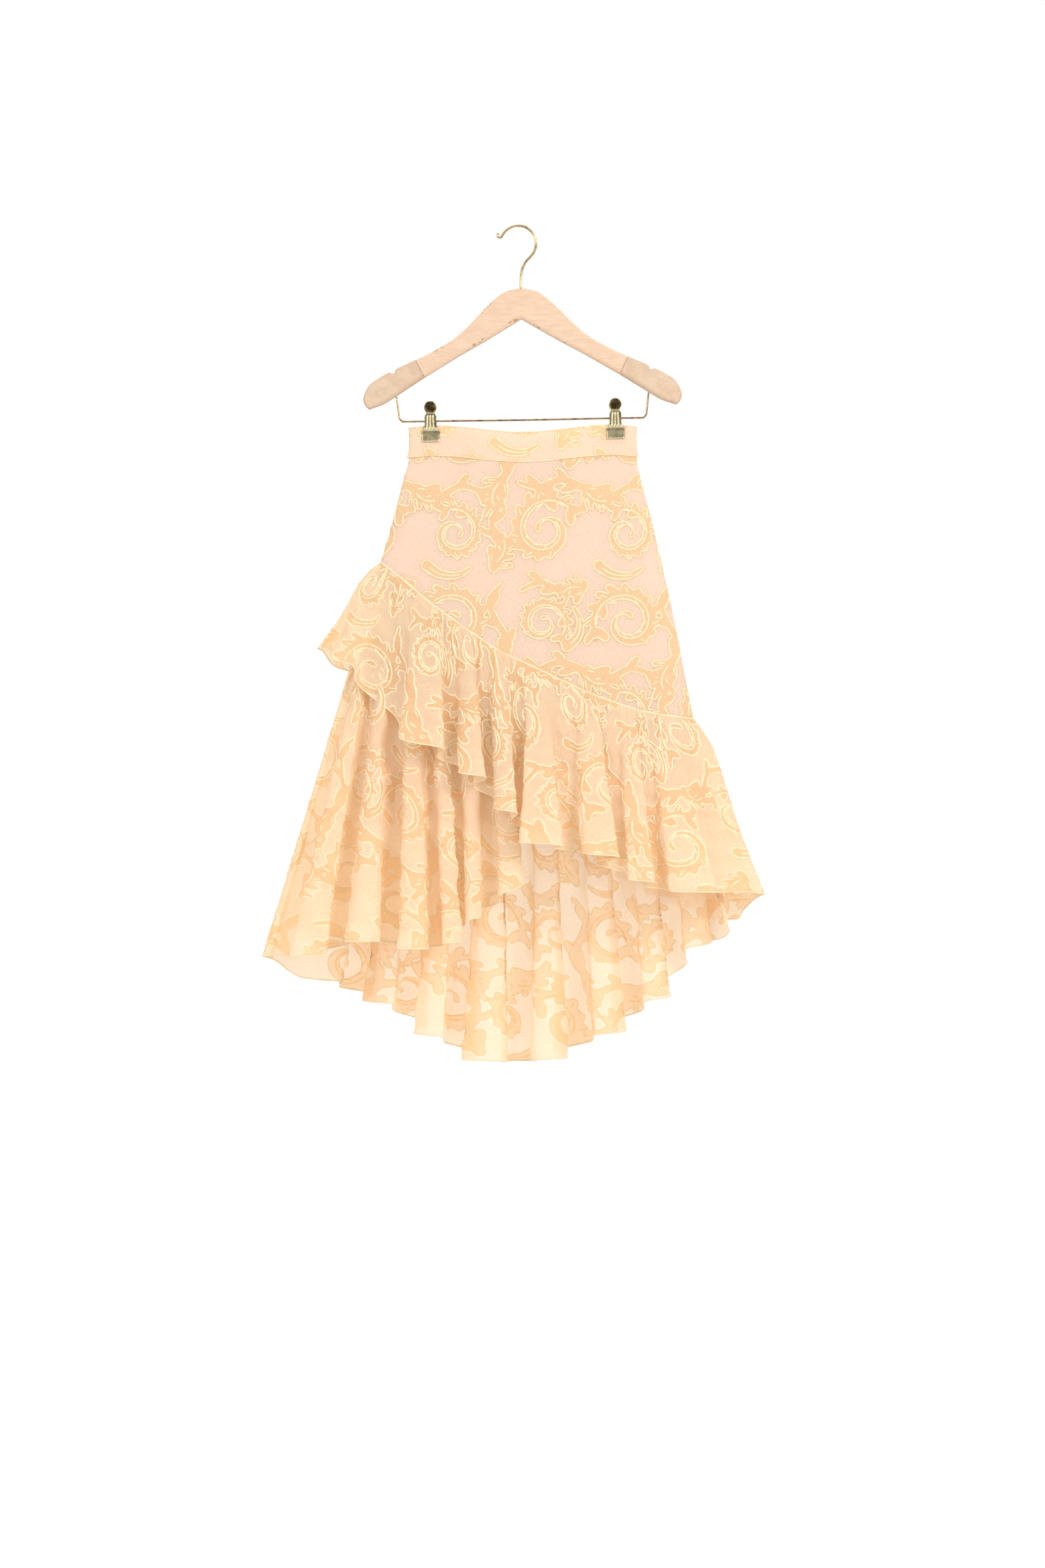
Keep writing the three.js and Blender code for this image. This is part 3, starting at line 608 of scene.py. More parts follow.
def dashesAlong(name, cloth, row, pitch, length, radius, rise, material, slot):  # a row of stitches
    columns = np.arange(cloth["points"].shape[1], dtype=float)
    rows = np.full(len(columns), float(row))
    line, outward = gridRead(cloth["points"], rows, columns), gridRead(cloth["normals"], rows, columns)
    s = runLengths(line)
    starts = np.arange(1, s[-1] - pitch, pitch)
    places = starts[:, None] + np.array([0, 0.5, 1]) * length
    lift = np.array([0.05, 1, 0.05]) * rise
    read = lambda values, at: np.stack([np.interp(at, s, values[:, k]) for k in range(3)], -1)
    centre = read(line, places) + read(outward, places) * lift[None, :, None]
    up = read(outward, places[:, 1])
    across = (np.cross(up, unit(centre[:, 2] - centre[:, 0])) * radius)[:, None]
    corners = np.stack([centre - across, centre + up[:, None] * radius * 0.8, centre + across], 2).reshape(-1, 3)
    base = np.arange(len(starts))[:, None] * 9
    quads = [base + np.array([k, k + 3, k + 4, k + 1]) for k in (0, 1, 3, 4)]
    return settle(makeMesh(name, corners, np.concatenate(quads), material), slot)


# Materials
def colour(code):
    channels = [int(code[i:i + 2], 16) / 255 for i in (1, 3, 5)]
    return [c / 12.92 if c <= 0.04045 else ((c + 0.055) / 1.055) ** 2.4 for c in channels] + [1]


def newMaterial(name):
    material = bpy.data.materials.new(name)
    material.use_nodes = True
    tree = material.node_tree
    return material, tree, tree.nodes["Principled BSDF"]


def addNode(tree, kind, inputs=None, **settings):
    node = tree.nodes.new("ShaderNode" + kind)
    for key, value in settings.items():
        setattr(node, key, value)
    for key, value in (inputs or {}).items():
        if isinstance(value, bpy.types.NodeSocket):
            tree.links.new(value, node.inputs[key])
        else:
            node.inputs[key].default_value = value
    return node


def blendOf(tree, factor, first, second):  # of two colours, each an output or an sRGB code
    first, second = (colour(c) if isinstance(c, str) else c for c in (first, second))
    return addNode(tree, "Mix", {0: factor, 6: first, 7: second}, data_type="RGBA").outputs[2]


def sumOf(tree, operation, *values):
    return addNode(tree, "Math", dict(enumerate(values)), operation=operation).outputs[0]


def meanOf(tree, first, second):
    return sumOf(tree, "MULTIPLY", sumOf(tree, "ADD", first, second), 0.5)


def rangeOf(tree, value, low, high, start=0.0, end=1.0):
    inputs = {"Value": value, "From Min": low, "From Max": high, "To Min": start, "To Max": end}
    return addNode(tree, "MapRange", inputs, interpolation_type="SMOOTHSTEP").outputs[0]


def noiseOf(tree, place, scale, detail, stretch=None):
    if stretch:
        place = addNode(tree, "Mapping", {"Vector": place, "Scale": stretch}).outputs[0]
    return addNode(tree, "TexNoise", {"Vector": place, "Scale": scale, "Detail": detail}).outputs[0]


def attributeOf(tree, name, output="Fac"):
    return addNode(tree, "Attribute", attribute_name=name).outputs[output]


def placeOf(tree):  # metres in the piece's own frame
    return addNode(tree, "TexCoord").outputs["Object"]


def dress(tree, shader, base, roughness, sheen=0.0, metallic=0.0):
    tree.links.new(base, shader.inputs["Base Color"])
    shader.inputs["Sheen Weight"].default_value = sheen
    shader.inputs["Metallic"].default_value = metallic
    if isinstance(roughness, float):
        shader.inputs["Roughness"].default_value = roughness
    else:
        tree.links.new(roughness, shader.inputs["Roughness"])


def roughen(tree, shader, height, strength, depth):  # fine relief of that depth in metres
    bump = addNode(tree, "Bump", {"Height": height, "Strength": strength, "Distance": depth}).outputs[0]
    tree.links.new(bump, shader.inputs["Normal"])
    return bump


# Sheer organza with woven-in scrolls, light ground and deeper fill with a fringed edge, and a painted shadow ring
# beside the raised cords: warp and weft give it a fine cross grain, and light comes through it. Coordinates are mm
# of cloth.
def organzaMaterial(name, ground, fill, outline, alpha, through):
    material, tree, shader = newMaterial(name)
    fabric = attributeOf(tree, "fabric", "Vector")
    scroll = attributeOf(tree, "scroll")
    fringe = noiseOf(tree, fabric, 0.9, 3.0)
    edge = sumOf(tree, "ADD", scroll, rangeOf(tree, fringe, 0.25, 0.75, -0.9, 0.9))
    inside = rangeOf(tree, edge, 0.8, -0.8)
    # Painted shadow: a ring just outside the fill's edge, where the raised cords lie, takes the outline colour
    cordShadowRing = rangeOf(tree, sumOf(tree, "ABSOLUTE", sumOf(tree, "SUBTRACT", edge, 0.7)), 0.2, 1.5, 0.7, 0.0)
    warp = noiseOf(tree, fabric, 1.0, 2.0, (1.1, 0.16, 1))
    weft = noiseOf(tree, fabric, 1.0, 2.0, (0.2, 1.4, 1))
    grain = meanOf(tree, warp, weft)
    cloudy = noiseOf(tree, fabric, 0.02, 2.0)
    base = blendOf(tree, rangeOf(tree, grain, 0.35, 0.68), ground[1], ground[0])
    base = blendOf(tree, rangeOf(tree, cloudy, 0.3, 0.7, 0.0, 0.4), base, ground[1])
    woven = blendOf(tree, rangeOf(tree, grain, 0.3, 0.7), fill[0], fill[1])
    base = blendOf(tree, inside, base, woven)
    base = blendOf(tree, cordShadowRing, base, outline)
    dress(tree, shader, base, 0.72, sheen=0.15)
    bump = roughen(tree, shader, meanOf(tree, grain, inside), 0.5, 0.0009)
    glow = addNode(tree, "BsdfTranslucent", {"Color": base, "Normal": bump}).outputs[0]
    cloth = addNode(tree, "MixShader", {0: through, 1: shader.outputs[0], 2: glow}).outputs[0]
    sheer = sumOf(tree, "ADD", rangeOf(tree, grain, 0.3, 0.7, alpha - 0.05, alpha + 0.05),
                  sumOf(tree, "MULTIPLY", inside, 0.93 - alpha))
    clear = addNode(tree, "BsdfTransparent").outputs[0]
    surface = addNode(tree, "MixShader", {0: sheer, 1: clear, 2: cloth}).outputs[0]
    tree.links.new(surface, tree.nodes["Material Output"].inputs["Surface"])
    return material


# Raised pale silk yarn, uneven along its length, that outlines the scrolls
def yarnMaterial(name, low, high, through):
    material, tree, shader = newMaterial(name)
    fabric = attributeOf(tree, "fabric", "Vector")
    strands = noiseOf(tree, fabric, 0.5, 3.0)
    yarn = blendOf(tree, rangeOf(tree, strands, 0.32, 0.66), low, high)
    dress(tree, shader, yarn, 0.62, sheen=0.2)
    roughen(tree, shader, noiseOf(tree, fabric, 2.2, 2.0), 0.5, 0.0006)
    glow = addNode(tree, "BsdfTranslucent", {"Color": yarn}).outputs[0]
    mixed = addNode(tree, "MixShader", {0: through, 1: shader.outputs[0], 2: glow}).outputs[0]
    tree.links.new(mixed, tree.nodes["Material Output"].inputs["Surface"])
    return material


# Over the peach slip, doubled in the waistband, and unlined and lit from behind in the ruffles
# The last colour of each is the painted shadow ring beside the cords: darker tan on the body and band, pale on the
# ruffles
organza = organzaMaterial("organza_jacquard", ("#f5e3d1", "#f2d8c0"), ("#efc998", "#f3d5ac"), "#ebc28e",
                          alpha=0.82, through=0.26)
bandOrganza = organzaMaterial("organza_jacquard_doubled", ("#f6dabf", "#f2ceb0"), ("#eec48e", "#f2ce9e"),
                              "#e8bc86", alpha=0.95, through=0.12)
ruffleOrganza = organzaMaterial("organza_jacquard_unlined", ("#feefd4", "#fde4c3"), ("#fbd5a3", "#fcdfb6"),
                                "#fef4e1", alpha=0.9, through=0.46)
cord = yarnMaterial("raised_silk_yarn", "#f7deb2", "#fdeecc", through=0.16)
# Painted light: a paler copy of the yarn that lets more light through, for the cords of the back ruffles, which
# face the shaded inside of the skirt
lightenedBackCord = yarnMaterial("silk_yarn_lightened_for_shade", "#fdebc6", "#fff7e2", through=0.8)

# Slip: plain smooth woven polyester, peach, with a fine even grain and a slight satin gloss
lining, tree, shader = newMaterial("polyester_slip_satin")
fabric = attributeOf(tree, "fabric", "Vector")
grain = noiseOf(tree, fabric, 1.0, 2.0, (1.6, 0.3, 1))
cloudy = noiseOf(tree, fabric, 0.012, 2.0)
satin = blendOf(tree, rangeOf(tree, meanOf(tree, grain, cloudy), 0.3, 0.7), "#fbdcc8", "#fee8d8")
dress(tree, shader, satin, rangeOf(tree, grain, 0.3, 0.7, 0.46, 0.58), sheen=0.15)
roughen(tree, shader, grain, 0.3, 0.0004)

# Hanger: pale peach satin paint on beech, with a faint joint line and small brown chips along the edges
paintedWood, tree, shader = newMaterial("satin_painted_beech")
place = placeOf(tree)
brushed = noiseOf(tree, place, 1.0, 4.0, (60, 200, 400))
paint = blendOf(tree, rangeOf(tree, brushed, 0.3, 0.72), "#d7b698", "#dfc1a5")
spots = noiseOf(tree, place, 190.0, 3.0)
patches = noiseOf(tree, place, 32.0, 1.0)
worn = rangeOf(tree, meanOf(tree, spots, patches), 0.582, 0.61)
chips = sumOf(tree, "MULTIPLY", worn, attributeOf(tree, "rim"))
paint = blendOf(tree, chips, paint, "#b98c64")
across = addNode(tree, "SeparateXYZ", {0: place}).outputs["X"]
offCentre = sumOf(tree, "ABSOLUTE", sumOf(tree, "SUBTRACT", across, 0.0042))
joint = rangeOf(tree, offCentre, 0.0, 0.0005, 0.35, 0.0)
paint = blendOf(tree, joint, paint, "#c79d7c")
dress(tree, shader, paint, rangeOf(tree, brushed, 0.3, 0.7, 0.36, 0.5))
heights = sumOf(tree, "SUBTRACT", sumOf(tree, "MULTIPLY", brushed, 0.25), sumOf(tree, "ADD", chips, joint))
roughen(tree, shader, heights, 0.4, 0.0005)

# Grip ends: soft rubbery coat over the paint, duller and yellower, with pale specks where it is rubbed and painted
# shade along its rounded edges
gripCoat, tree, shader = newMaterial("soft_rubber_grip_coat")
place = placeOf(tree)
mottle = noiseOf(tree, place, 70.0, 5.0)
specks = noiseOf(tree, place, 420.0, 2.0)
coat = blendOf(tree, rangeOf(tree, mottle, 0.32, 0.68), "#caac91", "#d3b99d")
coat = blendOf(tree, rangeOf(tree, specks, 0.62, 0.7, 0.0, 0.5), coat, "#efdabd")
# Painted shade: the coat darkened along the rounded edges
coat = blendOf(tree, sumOf(tree, "MULTIPLY", attributeOf(tree, "rim"), 0.3), coat, "#c39a80")
dress(tree, shader, coat, rangeOf(tree, mottle, 0.3, 0.7, 0.62, 0.8))
roughen(tree, shader, specks, 0.35, 0.0004)


# Brass-plated steel, polished, with fine rubbed marks; darker where the plating has toned and where a piece
# carries painted shade
def brassMaterial(name, light, dark, tone):
    material, tree, shader = newMaterial(name)
    place = placeOf(tree)
    marks = noiseOf(tree, place, 900.0, 3.0)
    toned = rangeOf(tree, noiseOf(tree, place, 130.0, 2.0), 0.35, 0.75, 0.0, tone)
    # Painted shade from the clip leaves, added to the plating's random toning
    amount = sumOf(tree, "MINIMUM", sumOf(tree, "ADD", attributeOf(tree, "paintedShade"), toned), 1.0)
    metal = blendOf(tree, amount, light, dark)
    dress(tree, shader, metal, rangeOf(tree, marks, 0.3, 0.7, 0.16, 0.3), metallic=1.0)
    roughen(tree, shader, marks, 0.15, 0.0001)
    return material


brass = brassMaterial("brass_plated_steel", "#f6e8bb", "#4a3c22", 0.22)
wireBrass = brassMaterial("toned_brass_wire", "#d0b98e", "#6b5236", 0.6)
barBrass = brassMaterial("bronzed_bar_wire", "#b89c74", "#54432c", 0.8)


def gridOf(first, second):  # two lists as a grid, the first down and the second round
    return np.meshgrid(first, second, indexing="ij")


def belowBand(angle, inset):  # height just under the waistband
    return waistbandPoint(angle, np.full_like(angle, bandHeight), inset)[..., 2] - 0.3


def upToSeam(angle, share, inset):
    return hangingPoint(angle, (belowBand(angle, inset) - seamHeight(angle)) * share, inset)


def slipPoint(angle, share):
    drop = (belowBand(angle, 0) - slipHem) * share
    clear = 2.6 + 3.6 * (np.minimum(1, drop / 28) + 0.7 * ease(62, 500, drop))
    return hangingPoint(angle, drop, clear)


def levelLengths(points):  # for each point, how far round it lies at its own level, from the middle column
    steps = np.linalg.norm(np.diff(points[..., :2], axis=1), axis=-1)
    total = np.concatenate([np.zeros((len(points), 1)), np.cumsum(steps, 1)], 1)
    return total - total[:, [points.shape[1] // 2]]


def panelGrid(sizes, firstAngle):  # share of the way down, and angle over half the way round
    columns = np.linspace(firstAngle, firstAngle + math.pi, sizes["columns"] + 1)
    return gridOf(np.linspace(0, 1, sizes["rows"] + 1), columns)


body = {"rows": 120, "columns": 240, "inset": 0.8, "shift": (150, 20), "yarn": (1.2, 0.9), "seam": 1.7}
slip = {"rows": 120, "columns": 120, "hemRow": 117.6, "roll": 0.7}
band = {"rows": 24, "columns": 240, "inset": 0.3, "shift": (60, 190), "yarn": (1.2, 0.8), "stitchRow": 22.8,
        "fold": 0.8, "foot": 0.7}
for side, firstAngle in (("front", math.pi), ("back", 2 * math.pi)):
    share, angle = panelGrid(body, firstAngle)
    cloth = makeCloth(upToSeam(angle, share, body["inset"]))
    layPattern(cloth, levelLengths(cloth["points"]), -cloth["points"][..., 2], 0, body["shift"])
    piece = clothPiece("skirt_body_" + side, cloth, organza, "organza", "body_" + side)
    cords = cordMesh("body_scrolls_" + side, cloth, *body["yarn"], cord)
    seam = edgeRoll("ruffle_seam_" + side, cloth, -1, body["seam"], cord)

    share, angle = panelGrid(slip, firstAngle)
    cloth = makeCloth(slipPoint(angle, share))
    cloth.update(s=cloth["points"][..., 0], t=-cloth["points"][..., 2], scroll=np.full(share.shape, repeat["far"]))
    piece = clothPiece("slip_" + side, cloth, lining, "lining", "lining_" + side)
    stitches = dashesAlong("slip_stitches_" + side, cloth, slip["hemRow"], 2.8, 2.0, 0.25, 0.45, lining, "lining")
    turned = edgeRoll("slip_hem_" + side, cloth, -1, slip["roll"], lining, "lining")

    share, angle = panelGrid(band, firstAngle)
    cloth = makeCloth(waistbandPoint(angle, share * bandHeight, band["inset"]))
    layPattern(cloth, levelLengths(cloth["points"]), -cloth["points"][..., 2], 0, band["shift"])
    piece = clothPiece("band_" + side, cloth, bandOrganza, "organza", "waistband_" + side)
    cords = cordMesh("band_scrolls_" + side, cloth, *band["yarn"], cord)
    stitches = dashesAlong("band_stitches_" + side, cloth, band["stitchRow"], 2.6, 1.8, 0.22, 0.5, cord, "organza")
    fold = edgeRoll("band_fold_" + side, cloth, 0, band["fold"], cord)
    foot = edgeRoll("band_foot_" + side, cloth, -1, band["foot"], cord)
print("body, slip and band made")

# Inset and below place a ruffle's top under the seam; spread, puff and flare shape its fall to the hem
upperRuffle = {
    "name": "upper", "folds": upperFolds, "left": -274, "right": 331, "inset": -0.4, "under": 0.7, "below": 0.9,
    "spread": 0.2, "puff": 1.2, "flare": 0.75, "foldDepth": 0.075, "overlap": 2.6, "gather": 1,
    "rows": 84, "seed": 20, "turned": 28, "shift": (40, 150),
}
lowerRuffle = {
    "name": "lower", "folds": lowerFolds, "left": -346, "right": 286, "inset": 2, "under": 0.7, "below": 0.9,
    "spread": 0.085, "puff": 0, "flare": 1.15, "foldDepth": 0.043, "overlap": 2.1, "gather": 0.3,
    "rows": 150, "seed": 30, "turned": -8, "shift": (10, 30),
}
ruffleCloth = {"columnsPerFold": 36, "widestAt": 0.62, "calmEnds": 30, "yarn": (1.2, 0.9), "hem": 0.85}


def flatSizes(points):  # how far round each column lies, read where the cloth is widest, and each column's length
    wide = int((len(points) - 1) * ruffleCloth["widestAt"])
    return runLengths(points[wide]), np.linalg.norm(np.diff(points, axis=0), axis=-1).sum(0)


for ruffle in (upperRuffle, lowerRuffle):
    name, folds = ruffle["name"], ruffle["folds"]
    read = foldReader(ruffle)
    turn = [fold[0] for fold in folds].index("back") - 1
    for side, first, last in (("front", 0, turn), ("back", turn, len(folds))):
        columns = (last - first) * ruffleCloth["columnsPerFold"]
        v, u = gridOf(np.linspace(0, 1, ruffle["rows"] + 1), np.linspace(first, last, columns + 1))
        cloth = makeCloth(foldedPoint(ruffle, read, u, v))
        across, lengths = flatSizes(cloth["points"])
        across = np.broadcast_to(across, v.shape)
        lift = ruffleRelief(across, v * lengths, ruffle["seed"])
        lift = lift * np.minimum(1, np.minimum(across, across[0, -1] - across) / ruffleCloth["calmEnds"])
        cloth = makeCloth(cloth["points"] + cloth["normals"] * lift[..., None])
        across, lengths = flatSizes(cloth["points"])
        layPattern(cloth, np.broadcast_to(across, v.shape), v * lengths, ruffle["turned"], ruffle["shift"])
        piece = clothPiece("ruffle_" + name + "_" + side, cloth, ruffleOrganza, "organza",
                           name + "_ruffle_" + side)
        # The back ruffles' cords take the paler yarn copy, painted light against the shade inside the skirt
        cords = cordMesh(name + "_scrolls_" + side, cloth, *ruffleCloth["yarn"],
                         cord if side == "front" else lightenedBackCord)
        hem = edgeRoll(name + "_hem_" + side, cloth, -1, ruffleCloth["hem"], cord)
print("ruffles made")

# The hanger's outline, right half, as distance from the stem and drop below the wood's top. It is drawn level
# and then hung: its foot is where the hook's stem meets the wood, and the whole tilts about it.
hanger = {
    "woodTop": [(0, 0), (21.6, 4.4), (34.5, 12.9), (51.8, 28.8), (74.8, 52.3), (94.9, 69), (122.2, 84.8),
                (146.6, 96.6)],
    "woodLow": [(0, 42.3), (46, 69.6), (86.3, 92), (125, 115), (134.5, 120.4)],
    "gripTop": [(146.9, 96.7), (160, 102.3), (173.6, 108.8), (176, 113.6), (180.2, 114.8), (183.4, 113.4),
                (196.1, 119.9), (211.3, 130.8), (219.4, 147.2), (217.9, 157.3), (212.2, 163)],
    "gripLow": [(134.8, 120.6), (171, 143.6), (191.8, 156.2), (212, 163.2)],
    "wood": 14, "grip": 15, "topRound": 3, "lowRound": 6.5, "faceRound": 3.4,
    "foot": (3.6, -85.1), "tilt": math.radians(-0.95), "bar": 181,
}


def hung(points):  # from the hanger's own place to the row frame
    points = np.asarray(points, float)
    x, z = points[..., 0], points[..., 2]
    turned = points.copy()
    turned[..., 0] = hanger["foot"][0] + x * math.cos(hanger["tilt"]) + z * math.sin(hanger["tilt"])
    turned[..., 2] = hanger["foot"][1] - x * math.sin(hanger["tilt"]) + z * math.cos(hanger["tilt"])
    return turned


# A wooden piece lofted between its top and low edges, its section rounded more along the low edge. The value
# rim is 1 on the rounded edges and 0 on the flat faces; it places the worn chips on the arms and painted shade on
# the grips.
def woodPiece(name, top, low, thickness, material, slot, node):
    turns = np.concatenate([[-0.12], np.linspace(0, math.pi / 2, 7), [math.pi / 2 + 0.12]])
    lift, deep = np.sin(np.clip(turns, 0, math.pi / 2)), np.cos(np.clip(turns, 0, math.pi / 2))
    lift = np.where(turns < 0, -0.12, lift)
    deep = np.where(turns > math.pi / 2, -0.12, deep)
    rim = np.sin(2 * np.clip(turns, 0, math.pi / 2)) ** 0.5
    span = np.linalg.norm(top - low, axis=1)
    way = (top - low) / np.maximum(span, 1e-6)[:, None]
    half = span / 2
    rings, rims = [], []
    for face, upper in ((-1, True), (1, True), (1, False), (-1, False)):
        roundness = np.minimum(hanger["topRound"] if upper else hanger["lowRound"], half * 0.98)
        order = slice(None) if (face < 0) == upper else slice(None, None, -1)
        for a, b, c in zip(lift[order], deep[order], rim[order]):
            along = (half - roundness + roundness * a) * (1 if upper else -1)
            y = face * (thickness / 2 - hanger["faceRound"] * (1 - b))
            flat = (top + low) / 2 + way * along[:, None]
            rings.append(np.stack([flat[:, 0], np.full(len(flat), y), -flat[:, 1]], 1))
            rims.append(np.full(len(flat), c))
    points = np.stack(rings, 1)
    count, around = points.shape[:2]
    faces = gridFaces(count, around, True).tolist()
    last = (count - 1) * around
    ends = [list(range(around))[::-1], list(range(last, last + around))]
    mesh = bpy.data.meshes.new(name)
    mesh.from_pydata((hung(points).reshape(-1, 3) * millimetre).tolist(), [], faces + ends)
    mesh.polygons.foreach_set("use_smooth", [True] * len(faces) + [False] * 2)
    setAttribute(mesh, "rim", np.stack(rims, 1).ravel())
    mesh.materials.append(material)
    settle(addObject(name, mesh), slot, node)


def mirrored(line):
    return np.concatenate([np.array(line, float)[:0:-1] * (-1, 1), line])


woodTop = evenly(smoothLine(mirrored(hanger["woodTop"]), 8), 161)
woodLow = mirrored(evenly(smoothLine(hanger["woodLow"], 8), 81))
woodPiece("painted_arms", woodTop, woodLow, hanger["wood"], paintedWood, "painted_wood", "hanger_arms")
gripTop, gripLow = (evenly(smoothLine(hanger[edge], 8), 90) for edge in ("gripTop", "gripLow"))
for side, sign in (("left", -1), ("right", 1)):
    woodPiece("grip_end_" + side, gripTop * (sign, 1), gripLow * (sign, 1), hanger["grip"], gripCoat,
              "flocked_grip", "hanger_grip_" + side)


def arcPoints(x, z, radius, degrees):
    return [(x + radius * math.cos(a), 0, z + radius * math.sin(a)) for a in np.radians(degrees)]


# The hook from its curled tip over the bow and down the stem, and the bar's left half up to its middle
hook = {
    "tip": (-25.1, -11.3, 3.2, np.arange(-225, -44, 30)), "bow": (0, -22.8, 24.6, np.arange(150, -8.1, -15.8)),
    "stem": [(22.2, 0, -33.5), (17.2, 0, -40.4), (11.5, 0, -46.6), (7.6, 0, -53), (4.8, 0, -61), (3.8, 0, -70),
             (3.6, 0, -84.8)], "wire": 1.8,
}
bar = {
    "upright": [(-174, 0, -146.7), (-171.4, 0, -169)], "corner": (-163, -173, 8, np.arange(180, 271, 18)),
    "level": [(-111, 0, -181), (0, 0, -181.4)], "wire": 1.3,
}
hookLine = arcPoints(*hook["tip"]) + arcPoints(*hook["bow"]) + hook["stem"]
settle(tubeMesh("hook_wire", smoothLine(hookLine, 6), hook["wire"], 14, wireBrass), "brass", "hook")
barHalf = bar["upright"] + arcPoints(*bar["corner"]) + bar["level"]
barLine = np.array(barHalf + [(-x, y, z) for x, y, z in barHalf[-2::-1]])
settle(tubeMesh("bar_wire", hung(smoothLine(barLine, 8)), bar["wire"], 12, barBrass), "brass", "hanger_bar")

# Clip leaf: tables of height above the bar with how far it stands forward and its half width; a round knob,
# three pressed ribs and a wide jaw with a rolled lip
clip = {
    "forward": [(26.9, 13.7), (18.4, 11.4), (13, 9.6), (10, 8.6), (7, 7.6), (0, 6.6), (-10, 6.1), (-14, 5.9),
                (-17, 5.2), (-28.5, 5.2)],
    "half": [(13, 6.6), (11.5, 5.9), (10, 5.8), (8.4, 6.8), (7, 7.9), (5, 8.1), (-6, 8.2), (-10.5, 8.8),
             (-12, 9.6), (-13.2, 12), (-14.4, 12.5), (-28.5, 12.5)],
    "knob": 8.6, "knobHeight": 18.3, "knobFoot": 13, "plate": 0.9, "ribs": (-4.3, 0.0, 4.3), "ribRise": 1.1,
    "backShade": 0.35, "coilTurns": 6, "coilHalf": 5, "coil": 4.6, "coilWire": 0.5,
}
forwardTable, halfTable = np.array(clip["forward"]), np.array(clip["half"])


def clipLeafGrid(direction, offset):  # points, and the painted shade at each
    knob = clip["knobHeight"] + 8.55 * np.sin(np.linspace(math.pi / 2, -0.62, 22))
    h, a = gridOf(np.concatenate([knob, np.linspace(12.6, -13.2, 40), np.linspace(-14, -28.5, 14)]),
                  np.linspace(-1, 1, 37))
    knobHalf = np.sqrt(np.maximum(clip["knob"] ** 2 - (h - clip["knobHeight"]) ** 2, 0.16))
    neckHalf = softRead(halfTable, 1, np.minimum(h, clip["knobFoot"]), 0.5)
    x = a * np.where(h > clip["knobFoot"], knobHalf, neckHalf)
    crown = np.where(h > 12.5, 0.9 * (1 - (x / 9) ** 2 - ((h - clip["knobHeight"]) / 9) ** 2), 0)
    narrowing = 0.82 + 0.01 * (9 - h)
    ribs = sum(np.exp(-((x - rib * narrowing) / 0.95) ** 2) for rib in clip["ribs"]) * clip["ribRise"]
    ribs = ribs * ease(-12.5, -9.5, h) * (1 - ease(5.5, 9, h))
    lip = 0.7 * ease(-26.6, -28.4, h) + 0.35 * np.exp(-((h + 15.4) / 0.8) ** 2) * (np.abs(a) < 0.97)
    rolled = -0.8 * np.maximum(0, np.abs(a) - 0.9) / 0.1 * (h < -13.5)
    y = softRead(forwardTable, 1, h, 1.2) + offset + np.maximum(crown, 0) + ribs
    y = y + (lip + rolled) * (offset > -0.5)
    grooves = (1 - np.minimum(1, ribs / clip["ribRise"])) * ease(-11, -8, h) * (1 - ease(8, 11, h))
    rim = np.minimum(1, np.abs(a) ** 6 + ease(25.2, 26.6, h)) * (h > 11)
    jaw = (1 - ease(-14, -12.5, h)) * (1 - ease(-26.4, -28, h))
    # Painted shade: dark on the knob with a painted highlight along its rim, and over the neck around the pressed
    # ribs, which stay light; painted shade on the jaw as well
    paintedShade = np.maximum(0.9 * ease(10.5, 12.5, h) * (1 - 0.75 * rim), 0.72 * grooves)
    return np.stack([-direction * x, direction * y, h], -1), np.maximum(paintedShade, 0.55 * jaw)


def closedSheet(name, outer, inner, material, attributes):  # two grids joined along their edges into a plate
    rows, columns = outer.shape[:2]
    total = rows * columns
    front = gridFaces(rows, columns)
    top = np.arange(columns - 1)
    foot = top + (rows - 1) * columns
    left = np.arange(rows - 1) * columns
    right = left + columns - 1
    edges = [(top, top + 1), (foot + 1, foot), (left + columns, left), (right, right + columns)]
    sides = [np.stack([a, b, b + total, a + total], 1) for a, b in edges]
    points = np.concatenate([outer.reshape(-1, 3), inner.reshape(-1, 3)])
    return makeMesh(name, points, np.concatenate([front, front[:, ::-1] + total] + sides), material, attributes)


for side, sign in (("left", -1), ("right", 1)):
    centre = np.array([sign * clipSpacing / 2, 0, -hanger["bar"] - 0.2])
    for face, direction, shade in (("front", -1, 1), ("back", 1, clip["backShade"])):
        outer, paintedShade = clipLeafGrid(direction, 0.0)
        inner = clipLeafGrid(direction, -clip["plate"])[0]
        leaf = closedSheet("clip_leaf_" + side + "_" + face, hung(outer + centre), hung(inner + centre), brass,
                           {"paintedShade": np.tile(paintedShade.ravel(), 2) * shade})
        settle(leaf, "brass", "clip_" + side + "_" + face)
    turn = np.linspace(0, 2 * math.pi * clip["coilTurns"], clip["coilTurns"] * 16 + 1)
    coil = np.stack([np.linspace(-clip["coilHalf"], clip["coilHalf"], len(turn)),
                     clip["coil"] * np.cos(turn), clip["coil"] * np.sin(turn)], 1)
    spring = tubeMesh("clip_coil_" + side, hung(coil + centre), clip["coilWire"], 7, wireBrass)
    settle(spring, "brass", "clip_" + side + "_spring")
print("hanger made")

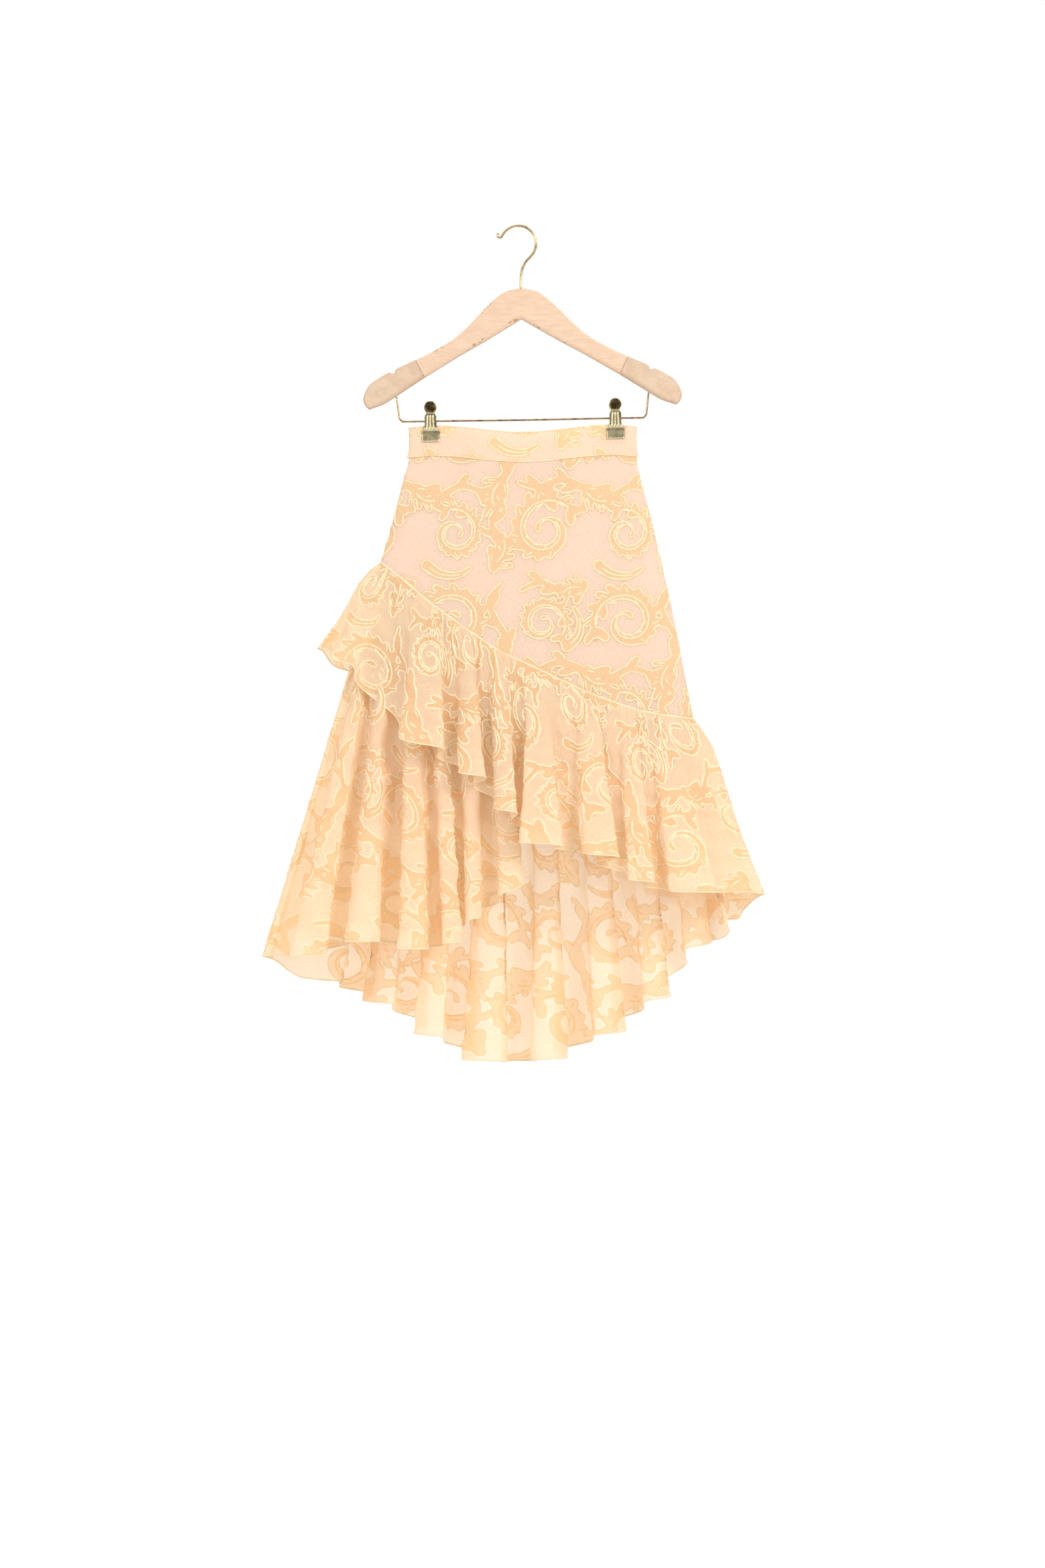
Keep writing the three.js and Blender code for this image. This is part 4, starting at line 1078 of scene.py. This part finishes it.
# Studio: matte white floor board, very faintly mottled, soft lamps and white surroundings
floorMaterial, tree, shader = newMaterial("matte_painted_board")
mottle = noiseOf(tree, placeOf(tree), 5.0, 4.0)
dress(tree, shader, blendOf(tree, rangeOf(tree, mottle, 0.3, 0.7), "#f1efeb", "#f7f5f2"),
      rangeOf(tree, mottle, 0.3, 0.7, 0.8, 0.92))
floorHalf, floorHeight = 1300, -2100
corners = [(x * floorHalf, y * floorHalf, floorHeight) for x, y in ((-1, -1), (1, -1), (1, 1), (-1, 1))]
makeMesh("studio_floor", corners, [(0, 1, 2, 3)], floorMaterial)

# The camera stands level in front of the skirt, so far off that one image row is 0.92 mm at the skirt
view = {"distance": 5.2, "x": 0.006, "z": -0.769, "rows": 2353, "rowSize": 0.92e-3, "sensor": 36}
cameraData = bpy.data.cameras.new("camera")
cameraData.sensor_fit = "VERTICAL"
cameraData.sensor_height = view["sensor"]
cameraData.lens = view["sensor"] * view["distance"] / (view["rows"] * view["rowSize"])
camera = addObject("camera", cameraData)
camera.location = (view["x"], -view["distance"], view["z"])
camera.rotation_euler = (math.radians(90), 0, 0)
bpy.context.scene.camera = camera


def softLamp(name, place, aim, size, watts):
    data = bpy.data.lights.new(name, "AREA")
    data.size = size
    data.energy = watts
    lamp = addObject(name, data)
    lamp.location = place
    lamp.rotation_euler = (Vector(aim) - Vector(place)).to_track_quat("-Z", "Y").to_euler()


softLamp("key_lamp", (2.1, -2.4, 0.9), (0, 0, -0.7), 1.0, 58)
softLamp("back_lamp", (-0.6, 2.4, 1.5), (0, 0, -0.9), 1.6, 31)
softLamp("fill_lamp", (-2.4, -2.2, -0.2), (0, 0, -0.7), 1.6, 24)

bpy.context.scene.view_settings.view_transform = "Standard"
world = bpy.data.worlds.new("studio")
world.use_nodes = True
tree = world.node_tree
background = tree.nodes["Background"]
background.inputs["Color"].default_value = (1, 1, 1, 1)
up = addNode(tree, "SeparateXYZ", {0: addNode(tree, "TexCoord").outputs["Generated"]}).outputs["Z"]
sky = rangeOf(tree, up, -0.9, 0.7, 0.58, 1.0)  # dimmer from below; the ground behind the skirt stays white
seen = addNode(tree, "LightPath").outputs["Is Camera Ray"]
strength = addNode(tree, "MapRange", {"Value": seen, "To Min": sky, "To Max": 1.05})
tree.links.new(strength.outputs[0], background.inputs["Strength"])
bpy.context.scene.world = world
